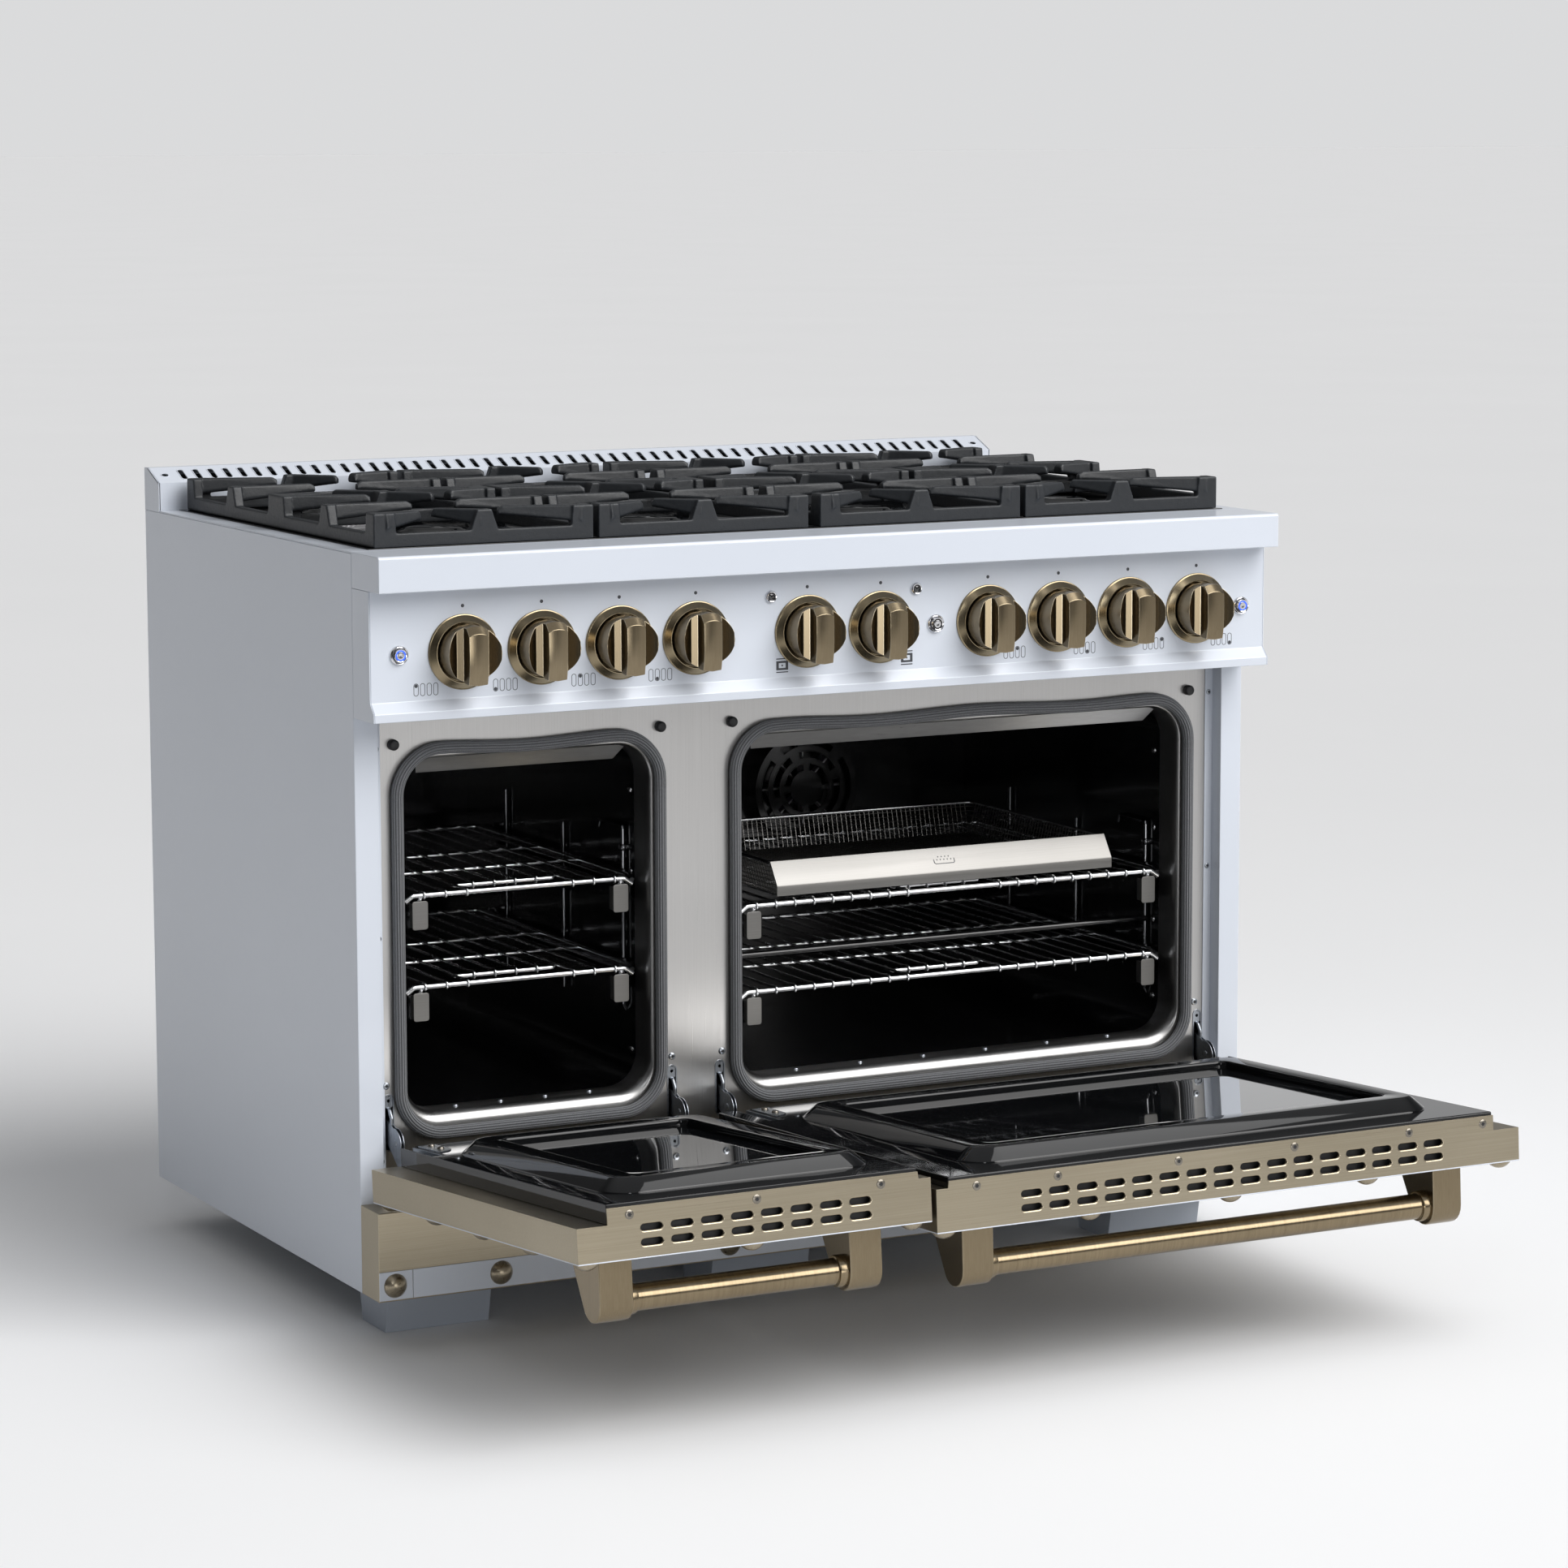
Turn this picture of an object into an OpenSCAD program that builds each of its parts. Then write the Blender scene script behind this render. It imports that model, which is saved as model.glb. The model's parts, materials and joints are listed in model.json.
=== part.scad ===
// Freestanding 48 inch gas range with eight burners and two ovens, doors lowered.
// X runs to the right, Y to the back, Z up. Millimetres.
// Lengths inside the modules are measured from the cabinet's front post plane (y = 0),
// from its middle (x = 0) and from the floor (z = 0); cab() moves them to the part's origin.

/* [Cabinet] */
// Overall width of the cabinet
width = 1216; // [1206:2:1226]
// Depth from the front posts to the back
depth = 695; // [690:1:705]
// Height of the underside of the cabinet
base_h = 60; // [55:1:62]
// Height of the cooktop surface
cooktop_h = 934; // [930:1:940]
// Thickness of the sheet metal
sheet = 2; // [1.6:0.2:2.4]
// Width of each front post
post_w = 30; // [26:1:32]
// Set-back of the stainless face frame behind the posts
recess = 22; // [20:1:26]

/* [Front] */
// How far the bullnose stands out
fascia_out = 82; // [78:1:86]
// Height of the bullnose
fascia_h = 42; // [38:1:44]
// How far the control panel stands out
panel_out = 50; // [48:1:52]
// Height of the control panel's lower edge
panel_z = 741; // [740:1:744]
// How far the kick panel stands out
kick_out = 53; // [50:1:54]
// Height of the kick panel's upper edge
kick_top = 166; // [160:1:166]

/* [Controls] */
// Height of the knob shafts
knob_z = 817; // [815:1:819]
// Distance from one burner knob to the next
knob_pitch = 100; // [96:1:100]
// How far the row of controls sits to the right of the middle
knob_shift = 8; // [0:1:10]
// Radius of a knob
knob_r = 33.5; // [32:0.5:34]
// How far a knob stands out from the panel
knob_len = 38; // [34:1:40]
// Radius of a push button
button_r = 8; // [7:0.5:8]

/* [Doors] */
// Height of the doors' lower edge
door_z = 169; // [168:0.5:170]
// Height of the doors
door_h = 569; // [566:1:570]
// Thickness of a door at its raised inner panel
door_t = 60; // [58:1:61]
// Where the seam between the two doors lies
door_seam = -177; // [-180:1:-174]
// Opening angle of the small door
open_left = 85; // [80:0.5:88]
// Opening angle of the large door
open_right = 86.5; // [80:0.5:88]

/* [Ovens] */
// Width of the small oven
small_w = 326; // [320:1:328]
// Width of the large oven
large_w = 630; // [620:1:632]
// Height of both ovens
oven_h = 442; // [436:1:444]
// Height of the oven floors
oven_z = 246; // [244:1:248]
// Where the ovens end at the back
oven_back = 580; // [560:1:600]
// Thickness of the door gasket
gasket_t = 18; // [14:1:19]

/* [Cooktop] */
// Width of a grate
grate_w = 280; // [276:1:282]
// Depth of a grate
grate_d = 620; // [612:1:622]
// Height of a grate
grate_h = 40; // [38:1:42]

/* [Hidden] */
$fn = 48;

// the origin is under the middle of the part with both doors lowered
origin_y = 45;
half_w = width / 2;
gap = 0.3;

white = [0.90, 0.92, 0.96];
steel = [0.72, 0.71, 0.69];
brass = [0.66, 0.58, 0.42];
black = [0.05, 0.05, 0.06];
iron = [0.16, 0.17, 0.18];
chrome = [0.85, 0.86, 0.88];

// doors: the outer face lies at y = -door_t when shut
door_gap = 6;
door_x = [[-half_w, door_seam - door_gap / 2], [door_seam + door_gap / 2, half_w]];
door_open = [open_left, open_right];
door_mid = [for (d = door_x) (d[0] + d[1]) / 2];
rim_w = 36;
rim_t = 38;
band_t = 56;
panel_x = [[door_x[0][0] + rim_w, door_x[0][1] - 4], [door_x[1][0] + 4, door_x[1][1] - rim_w]];
hinge_y = -54;
hinge_z = door_z + 16;
plateau_t = 16;

// the face frame ends behind the control panel
frame_top = panel_z + 20;

// ovens: the opening is the inner edge of the gasket
oven_mid = [-378, 216];
oven_w = [small_w, large_w];
oven_x = [for (i = [0, 1]) [oven_mid[i] - oven_w[i] / 2, oven_mid[i] + oven_w[i] / 2]];
oven_top = oven_z + oven_h;
oven_r = 46;
throat_y = recess + 44;
wedge_h = 18;
gasket_w = 18;
hinge_x = [[oven_x[0][0] - 21, oven_x[0][1] + 24], [oven_x[1][0] - 27, oven_x[1][1] + 29]];

// racks: height of the wires, front and back
rack_z = [[518, 408], [470, 363]];
rack_y = [50, 520];
bar_r = 3.5;

// cooktop
grate_x = [-half_w + 173, -148, 148, half_w - 173];
grate_y = 10;
grate_z = cooktop_h + 1.3;
burner_y = [grate_y + grate_d / 4, grate_y + grate_d * 3 / 4];
pan_floor = cooktop_h - 19;
trim_y = 643;

// controls
outer_knob = 499;
oven_knob = 50;
row_x = concat(
    [for (i = [0:3]) -outer_knob + i * knob_pitch], [-oven_knob, oven_knob],
    [for (i = [3:-1:0]) outer_knob - i * knob_pitch]);
knob_x = [for (x = row_x) x + knob_shift];
light_x = [-571, 573];
fan_x = 126 + knob_shift;
lamp_x = [-99 + knob_shift, 99 + knob_shift];
lamp_z = 861;
stem_r = 4;

module cab() { translate([0, -origin_y, 0]) children(); }

// box between two corners
module block(lo, hi) { translate(lo) cube(hi - lo); }

// extrude a (y, z) outline along X
module along_x(x0, x1) {
    translate([x0, 0, 0]) rotate([90, 0, 90]) linear_extrude(x1 - x0) children();
}

// extrude an (x, z) outline along Y
module along_y(y0, y1) {
    translate([0, y1, 0]) rotate([90, 0, 0]) linear_extrude(y1 - y0) children();
}

module rod_x(x0, x1, y, z, r) {
    translate([x0, y, z]) rotate([0, 90, 0]) cylinder(h = x1 - x0, r = r);
}

module rod_y(x, y0, y1, z, r) {
    translate([x, y1, z]) rotate([90, 0, 0]) cylinder(h = y1 - y0, r = r);
}

module rod_z(x, y, z0, z1, r) { translate([x, y, z0]) cylinder(h = z1 - z0, r = r); }

module round_rect(x0, x1, z0, z1, r) {
    translate([x0 + r, z0]) square([x1 - x0 - 2 * r, z1 - z0]);
    translate([x0, z0 + r]) square([x1 - x0, z1 - z0 - 2 * r]);
    for (x = [x0 + r, x1 - r], z = [z0 + r, z1 - r]) translate([x, z]) circle(r);
}

// outline of oven i, grown by g on every side
module oven_outline(i, g) {
    round_rect(oven_x[i][0] - g, oven_x[i][1] + g, oven_z - g, oven_top + g, oven_r + g);
}

// ring around oven i between two growths
module oven_ring(i, inner, outer) {
    difference() {
        oven_outline(i, outer);
        oven_outline(i, inner);
    }
}

// domed head of a rivet standing out along -Y
module dome(x, y, z, r, h) {
    ball = (r * r + h * h) / (2 * h);
    intersection() {
        translate([x, y + ball - h, z]) sphere(ball);
        rod_y(x, y - h - 1, y, z, r);
    }
}

// ---- cabinet ----

module side_panel() {
    block([-half_w, 0, base_h], [-half_w + sheet, depth, cooktop_h - sheet]);
    block([-half_w, 0, base_h], [-half_w + post_w, sheet, frame_top]);
    block([-half_w + post_w - sheet, 0, base_h + sheet], [-half_w + post_w, recess, frame_top]);
}

module side_panel_left() { color(white) cab() side_panel(); }

module side_panel_right() { color(white) cab() mirror([1, 0, 0]) side_panel(); }

inlet_x = half_w - 38;
inlet_r = 10.65;
inlet_len = 30;
pipe_r = 9.5;

module back_panel() {
    color(white) cab() difference() {
        block([-half_w + sheet, depth - sheet, base_h + sheet], [half_w - sheet, depth, cooktop_h - sheet]);
        rod_y(inlet_x, depth - 10, depth + 1, knob_z, inlet_r + 14);
    }
}

module base_pan() {
    color(steel) cab()
        block([-half_w + sheet, sheet, base_h], [half_w - sheet, depth, base_h + sheet]);
}

// rails and stiles of the face frame, joined at hairline seams, and a web in each corner of a mouth
module front_frame() {
    slot_z = [oven_z - 24, oven_z + 42];
    seam = 0.1;
    left = half_w - sheet;
    stiles = [[-left, oven_x[0][0]], [oven_x[0][1], oven_x[1][0]], [oven_x[1][1], left]];
    color(steel) cab() {
        difference() {
            union() {
                block([-left, recess, base_h + sheet], [left, recess + sheet, oven_z]);
                block([-left, recess, oven_top], [left, recess + sheet, frame_top]);
                for (x = stiles) block([x[0], recess, oven_z + seam], [x[1], recess + sheet, oven_top - seam]);
            }
            for (x = concat(hinge_x[0], hinge_x[1]))
                block([x - 5, recess - 1, slot_z[0]], [x + 5, recess + 4, slot_z[1]]);
        }
        for (i = [0, 1]) {
            corner_webs(i, seam);
            mouth_wedge(i);
        }
    }
}

// corners of oven i that lie outside the rounded mouth
module corner_webs(i, seam) {
    along_y(recess, recess + sheet) difference() {
        for (x = [oven_x[i][0] + seam, oven_x[i][1] - oven_r], z = [oven_z + seam, oven_top - oven_r])
            translate([x, z]) square(oven_r - seam);
        oven_outline(i, 0);
    }
}

// sloped strip under the top edge of an oven's mouth
module mouth_wedge(i) {
    top = oven_top - gap;
    intersection() {
        along_x(oven_x[i][0], oven_x[i][1])
            polygon([[recess + sheet + gap, top], [throat_y, top - wedge_h], [throat_y, top]]);
        along_y(recess, throat_y) oven_outline(i, -gap);
    }
}

module cooktop_surround() {
    color(white) cab() difference() {
        block([-half_w, 0, cooktop_h - sheet], [half_w, trim_y, cooktop_h]);
        block([-half_w + 34, 16, cooktop_h - 9], [half_w - 34, trim_y - 11, cooktop_h + 9]);
    }
}

module burner_pan() {
    rim = [half_w - 25, 9, 639];
    well = [half_w - 36, 20, 628];
    color(black) cab() difference() {
        union() {
            block([-rim[0], rim[1], cooktop_h], [rim[0], rim[2], cooktop_h + 1]);
            block([-well[0], well[1], pan_floor - 1.5], [well[0], well[2], cooktop_h + 1]);
        }
        block([-well[0] + 1.5, well[1] + 1.5, pan_floor], [well[0] - 1.5, well[2] - 1.5, cooktop_h + 9]);
        for (x = grate_x, y = burner_y) rod_z(x, y, pan_floor - 9, pan_floor + 9, 30);
    }
}

module front_fascia() {
    z0 = cooktop_h - fascia_h;
    y0 = -fascia_out;
    edge_r = 4;
    color(white) cab() difference() {
        along_x(-half_w, half_w) {
            translate([y0, z0]) square([fascia_out, fascia_h - edge_r]);
            translate([y0 + edge_r, z0]) square([fascia_out - edge_r, fascia_h]);
            translate([y0 + edge_r, cooktop_h - edge_r]) circle(edge_r);
        }
        block([-half_w + sheet, y0 + sheet, z0 + sheet], [half_w - sheet, 9, cooktop_h - sheet]);
        block([-half_w + sheet, -panel_out + 6, z0 - 9], [half_w - sheet, 9, z0 + 9]);
    }
}

module control_panel() {
    top = cooktop_h - fascia_h;
    lip = 11;
    color(white) cab() difference() {
        along_x(-half_w, half_w) polygon([
            [0, panel_z], [-panel_out - lip, panel_z], [-panel_out - lip, panel_z + 16],
            [-panel_out, panel_z + 26], [-panel_out, top], [0, top]]);
        along_x(-half_w + sheet, half_w - sheet) polygon([
            [9, panel_z + sheet], [-panel_out - lip + sheet, panel_z + sheet],
            [-panel_out - lip + sheet, panel_z + 15], [-panel_out + sheet, panel_z + 25],
            [-panel_out + sheet, top + 9], [9, top + 9]]);
        for (x = knob_x) rod_y(x, -panel_out - 9, -panel_out + 9, knob_z, stem_r + 2);
        for (x = [light_x[0], fan_x, light_x[1]])
            rod_y(x, -panel_out - 9, -panel_out + 9, knob_z, button_r + gap);
        for (x = lamp_x) rod_y(x, -panel_out - 9, -panel_out + 9, lamp_z, 5);
    }
}

trim_top = 986;
trim_knee = 969;

module vent_trim() {
    n = 57;
    pitch = 20.3;
    slope = atan2(trim_top - trim_knee, 40);
    mid = [trim_y + 20, (trim_top + trim_knee) / 2];
    color(white) cab() difference() {
        along_x(-half_w, half_w) polygon([
            [trim_y, cooktop_h - sheet], [trim_y, trim_knee], [trim_y + 40, trim_top],
            [depth, trim_top], [depth, cooktop_h - sheet]]);
        along_x(-half_w + sheet, half_w - sheet) polygon([
            [trim_y + sheet, cooktop_h - 9], [trim_y + sheet, trim_knee - 1.3],
            [trim_y + 40.5, trim_top - sheet], [depth - sheet, trim_top - sheet],
            [depth - sheet, cooktop_h - 9]]);
        for (i = [0:n - 1]) translate([(i - (n - 1) / 2) * pitch, mid[0], mid[1]])
            rotate([slope, 0, 0]) cube([8, 28, 12], center = true);
        for (x = [-half_w + 16, half_w - 16]) translate([x, mid[0], mid[1]])
            rotate([slope, 0, 0]) cylinder(h = 12, r = 5, center = true);
    }
}

module kick_panel() {
    color(brass) cab() difference() {
        block([-half_w, -kick_out, base_h], [half_w, 0, kick_top]);
        block([-half_w + sheet, -kick_out + sheet, base_h + sheet], [half_w - sheet, 9, kick_top - sheet]);
    }
}

strap_w = 34;
strap_t = 1.5;
dome_r = 14.5;
dome_h = 9;
kick_dome_pitch = 151;

module kick_trim() {
    z0 = base_h + 2;
    tile = 42;
    y1 = -kick_out;
    dome_x = concat([for (i = [-3:3]) i * kick_dome_pitch], [-half_w + 20, half_w - 20]);
    color(white) cab() {
        block([-half_w + tile + 0.6, y1 - strap_t, z0], [half_w - tile - 0.6, y1, z0 + strap_w]);
        block([-half_w, y1 - strap_t, z0], [-half_w + tile, y1, z0 + strap_w]);
        block([half_w - tile, y1 - strap_t, z0], [half_w, y1, z0 + strap_w]);
    }
    color(brass) cab() for (x = dome_x) dome(x, y1 - strap_t, z0 + strap_w / 2, dome_r, dome_h);
}

leg_x = [-500, -70, 500];
leg_w = 134;

module legs() {
    color([0.66, 0.70, 0.76]) cab() for (x = leg_x)
        along_x(x - leg_w / 2, x + leg_w / 2) polygon([[18, base_h], [30, 0], [101, 0], [113, base_h]]);
    color(steel) cab() for (x = [-480, 480]) {
        rod_z(x, 630, 0, 8, 22);
        rod_z(x, 630, 8.1, base_h, 9);
    }
}

// ---- ovens ----

module oven_liner(i) {
    along_y(recess + sheet + 0.1, oven_back) oven_ring(i, 0, sheet);
    along_y(oven_back - sheet, oven_back) oven_outline(i, 1);
}

module oven_liner_left() { color(black) cab() oven_liner(0); }

fan_cx = 270;
fan_z = 530;
fan_shaft_r = 4;

module oven_liner_right() {
    color(black) cab() difference() {
        oven_liner(1);
        rod_y(fan_cx, oven_back - 9, oven_back + 9, fan_z, fan_shaft_r + 1);
    }
}

module oven_gaskets() {
    color([0.32, 0.33, 0.34]) cab() for (i = [0, 1])
        along_y(recess - gasket_t, recess) oven_ring(i, 0, gasket_w);
}

// wire rack support on one side wall; dir points from the wall into the oven
module ladder(wall, dir, levels) {
    r = 2.9;
    for (y = [97, 270, 445])
        rod_z(wall + dir * 4, y, min(levels) - 60, max(levels) + 60, r);
    for (z = levels) rod_y(wall + dir * 10, 94, 506, z - bar_r - r - gap, r);
}

module rack_ladders() {
    color(chrome) cab() {
        for (i = [0, 1]) {
            ladder(oven_x[i][0], 1, rack_z[i]);
            ladder(oven_x[i][1], -1, rack_z[i]);
        }
        rod_x(oven_x[1][0] + 7 + gap, oven_x[1][1] - 7 - gap, 97, 400, 4.5);
    }
}

// wire rack in oven i at height z
module rack(i, z) {
    x0 = oven_x[i][0] + 11;
    x1 = oven_x[i][1] - 11;
    wire_r = 2;
    step = (x1 - x0) / [11, 23][i];
    foot = [20, 8, 34];
    for (y = rack_y) rod_x(x0, x1, y, z, bar_r);
    for (x = [x0, x1]) {
        rod_y(x, rack_y[0], rack_y[1], z, bar_r);
        for (y = rack_y) translate([x, y, z]) sphere(bar_r);
    }
    rod_x(x0, x1, (rack_y[0] + rack_y[1]) / 2, z, wire_r + 0.5);
    for (x = [x0 + step:step:x1 - step / 2]) rod_y(x, rack_y[0] - 1, rack_y[1] + 1, z + 3, wire_r);
    for (x = [x0 + 22, x1 - 22])
        block([x - foot[0] / 2, rack_y[0] - 6, z - 6 - foot[2]], [x + foot[0] / 2, rack_y[0] + 2, z - bar_r - 0.1]);
}

module rack_left_upper() { color(chrome) cab() rack(0, rack_z[0][0]); }

module rack_left_lower() { color(chrome) cab() rack(0, rack_z[0][1]); }

module rack_right_upper() { color(chrome) cab() rack(1, rack_z[1][0]); }

module rack_right_lower() { color(chrome) cab() rack(1, rack_z[1][1]); }

basket_x = [-30, 450];
basket_y = [72, 412];

module air_fry_basket() {
    z0 = rack_z[1][0] + 5 + gap;
    z1 = z0 + 44;
    wall = 1.5;
    color(steel) cab() {
        difference() {
            block([basket_x[0], basket_y[0], z0], [basket_x[1], basket_y[1], z1]);
            block([basket_x[0] + wall, basket_y[0] + wall, z0 + wall], [basket_x[1] - wall, basket_y[1] - wall, z1 + 9]);
        }
        along_x(basket_x[0], basket_x[1]) polygon([
            [basket_y[0], z1], [basket_y[0] - 18, z0 + 4], [basket_y[0] - 16, z0 + 4], [basket_y[0] + wall, z1]]);
    }
}

module fan_housing() {
    y0 = oven_back - 32;
    r = 78;
    color(black) cab() difference() {
        union() {
            rod_y(fan_cx, y0, oven_back - sheet, fan_z, r);
            rod_y(fan_cx, oven_back, oven_back + 60, fan_z, 42);
        }
        rod_y(fan_cx, y0 + 1.5, oven_back, fan_z, r - 1.5);
        rod_y(fan_cx, y0 - 1, y0 + 3, fan_z, 16);
        for (a = [0:30:330]) translate([fan_cx, y0, fan_z]) rotate([0, a, 0])
            block([28, -2, -5], [66, 3, 5]);
        rod_y(fan_cx, oven_back - 1, oven_back + 40, fan_z, fan_shaft_r + 0.05);
    }
}

module fan_blade() {
    y1 = oven_back - 8;
    color(steel) cab() {
        rod_y(fan_cx, y1 - 14, y1, fan_z, 12);
        rod_y(fan_cx, y1 - 2, oven_back + 38, fan_z, fan_shaft_r);
        for (a = [0:45:315]) translate([fan_cx, y1, fan_z]) rotate([0, a, 0])
            block([8, -13, -1], [62, -1, 1]);
    }
}

// ---- cooktop ----

module burner_heads() {
    color([0.5, 0.5, 0.5]) cab() for (x = grate_x, y = burner_y) {
        rod_z(x, y, pan_floor - 30, pan_floor + gap, 28);
        rod_z(x, y, pan_floor + gap, pan_floor + 6, 50);
        rod_z(x, y, pan_floor + 6, pan_floor + 20, 40);
        rod_z(x + 46, y, pan_floor + gap, pan_floor + 18, 3);
    }
}

module burner_caps() {
    color(black) cab() for (x = grate_x, y = burner_y) {
        rod_z(x, y, pan_floor + 20, pan_floor + 25, 42);
        rod_z(x, y, pan_floor + 25, pan_floor + 28, 36);
    }
}

rail_w = 12;
rail_h = 17;
finger_h = 18;

// tapered bar from a post to its tip, both given in plan
module finger(from, to, w0, w1) {
    d = to - from;
    n = [-d[1], d[0]] / norm(d);
    translate([0, 0, grate_h - finger_h]) linear_extrude(finger_h)
        polygon([from + n * w0 / 2, from - n * w0 / 2, to - n * w1 / 2, to + n * w1 / 2]);
}

// half of the fingers round one burner; the other half is this turned half round
module half_cell(hx, hy) {
    corner = 30;
    intersection() {
        union() {
            finger([-hx + 10, -hy + 8], [-hx + 63, -hy + 26], 28, 20);
            finger([hx - 12, -hy + 8], [hx - 107, -hy + 40], 24, 12);
            finger([0, -hy + 4], [-46, -hy + 50], 16, 10);
            finger([-hx + 4, 0], [-hx + 112, 0], 16, 11);
        }
        block([-hx, -hy, 0], [hx, hy, grate_h]);
    }
    for (s = [-1, 1]) {
        block([s > 0 ? hx - corner : -hx, -hy, 0], [s > 0 ? hx : -hx + corner, -hy + rail_w, grate_h]);
        block([s > 0 ? hx - rail_w : -hx, -hy, 0], [s > 0 ? hx : -hx + rail_w, -hy + corner, grate_h]);
    }
    along_y(-hy, -hy + rail_w) polygon([[-20, 0], [20, 0], [9, grate_h], [-9, grate_h]]);
    along_x(-hx, -hx + rail_w) polygon([[-20, 0], [20, 0], [9, grate_h], [-9, grate_h]]);
}

// cast grate over a front and a rear burner
module grate(k) {
    hx = grate_w / 2;
    hy = grate_d / 4;
    color(iron) cab() translate([grate_x[k], grate_y + grate_d / 2, grate_z]) {
        difference() {
            block([-hx, -2 * hy, 0], [hx, 2 * hy, rail_h]);
            block([-hx + rail_w, -2 * hy + rail_w, -9], [hx - rail_w, -rail_w / 2, 99]);
            block([-hx + rail_w, rail_w / 2, -9], [hx - rail_w, 2 * hy - rail_w, 99]);
        }
        for (y = [-hy, hy], turn = [0, 180]) translate([0, y, 0]) rotate(turn) half_cell(hx, hy);
    }
}

module grate_1() { grate(0); }

module grate_2() { grate(1); }

module grate_3() { grate(2); }

module grate_4() { grate(3); }

// ---- controls ----

module knob_bezels() {
    color(brass) cab() for (x = knob_x) translate([x, -panel_out, knob_z]) rotate([90, 0, 0])
        rotate_extrude() polygon([[stem_r + 2, 0], [44, 0], [43, 4], [39, 8], [35.5, 8], [35.5, 3], [stem_r + 2, 3]]);
}

// knob k: a drum with a grip across it, and its stem
module knob(k) {
    y0 = -panel_out - 4;
    grip = 24;
    face = y0 - knob_len + 4;
    color(brass) cab() {
        rod_y(knob_x[k], face, y0, knob_z, knob_r);
        intersection() {
            block([knob_x[k] - grip / 2, face - 10, knob_z - 40], [knob_x[k] + grip / 2, face + 9, knob_z + 40]);
            rod_y(knob_x[k], face - 10, face + 9, knob_z, knob_r);
        }
        rod_y(knob_x[k], y0 - 2, -8, knob_z, stem_r);
    }
}

module knob_burner_1() { knob(0); }

module knob_burner_2() { knob(1); }

module knob_burner_3() { knob(2); }

module knob_burner_4() { knob(3); }

module knob_oven_left() { knob(4); }

module knob_oven_right() { knob(5); }

module knob_burner_5() { knob(6); }

module knob_burner_6() { knob(7); }

module knob_burner_7() { knob(8); }

module knob_burner_8() { knob(9); }

module button(x) {
    color(chrome) cab() {
        rod_y(x, -panel_out - 6, -panel_out + 12, knob_z, button_r);
        rod_y(x, -panel_out + 6, -panel_out + 9, knob_z, button_r + 2);
    }
}

module light_button_left() { button(light_x[0]); }

module light_button_right() { button(light_x[1]); }

module fan_button() { button(fan_x); }

module panel_lamps() {
    color(chrome) cab() {
        for (x = [light_x[0], fan_x, light_x[1]]) difference() {
            rod_y(x, -panel_out - 3, -panel_out, knob_z, 11.5);
            rod_y(x, -panel_out - 4, -panel_out + 1, knob_z, button_r + gap);
        }
        for (x = lamp_x) {
            rod_y(x, -panel_out - 4, -panel_out, lamp_z, 7.5);
            rod_y(x, -panel_out - 1, -panel_out + 14, lamp_z, 4.8);
        }
    }
}

module gas_manifold() {
    pipe_y = 12;
    color(steel) cab() difference() {
        union() {
            rod_x(-540, inlet_x, pipe_y, knob_z, pipe_r);
            translate([inlet_x, pipe_y, knob_z]) sphere(pipe_r);
            rod_y(inlet_x, pipe_y, depth, knob_z, pipe_r);
            rod_y(inlet_x, depth - inlet_len, depth, knob_z, inlet_r);
            for (x = knob_x) block([x - 13, -30, knob_z - 13], [x + 13, pipe_y, knob_z + 13]);
        }
        for (x = knob_x) rod_y(x, -31, -6, knob_z, stem_r + 0.05);
        rod_y(inlet_x, pipe_y + 2, depth + 1, knob_z, pipe_r - 2.5);
        rod_x(-520, inlet_x - 5, pipe_y, knob_z, pipe_r - 2.5);
    }
}

// ---- door hinges and fasteners on the cabinet ----

pin_r = 2;
boss_r = 4.4;

module hinge_arms() {
    t = 5;
    color(steel) cab() for (i = [0, 1], x = hinge_x[i]) difference() {
        union() {
            along_x(x - t / 2, x + t / 2) polygon([
                [recess + 20, oven_z + 24], [recess + 20, oven_z - 6], [recess - 6, oven_z - 10],
                [hinge_y + 34, hinge_z + 21], [hinge_y + 3, hinge_z - 3.2],
                [hinge_y - 3, hinge_z + 3.2], [hinge_y + 20, hinge_z + 27],
                [recess - 14, oven_z + 26]]);
            rod_x(x - t / 2, x + t / 2, hinge_y, hinge_z, boss_r);
        }
        rod_x(x - t, x + t, hinge_y, hinge_z, pin_r + 0.05);
    }
}

module frame_fasteners() {
    lip_screws = [4, 6];
    color(black) cab() for (i = [0, 1], x = [oven_x[i][0] - 10, oven_x[i][1] + 10])
        rod_y(x, recess - 10, recess, oven_top + 16, 6.5);
    color(steel) cab() for (i = [0, 1]) {
        n = lip_screws[i];
        span = oven_w[i] - 2 * oven_r;
        for (k = [0:n - 1])
            rod_z(oven_x[i][0] + oven_r + span * (k + 0.5) / n, throat_y - 14, oven_z, oven_z + 3, 4);
        for (x = [oven_x[i][0] - gasket_w - 6, oven_x[i][1] + gasket_w + 6])
            dome(x, recess, oven_z + 54, 4.5, 3);
    }
}

// ---- doors ----

// place a door that is drawn shut at its lowered position
module lowered(i) {
    cab() translate([0, hinge_y, hinge_z]) rotate([door_open[i], 0, 0])
        translate([0, -hinge_y, -hinge_z]) children();
}

hinge_slot = 8;
hinge_skin = 1.2;

module hinge_cuts(i) {
    for (x = hinge_x[i])
        block([x - hinge_slot, -door_t + hinge_skin, door_z - 9], [x + hinge_slot, 9, door_z + 102]);
}

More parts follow.
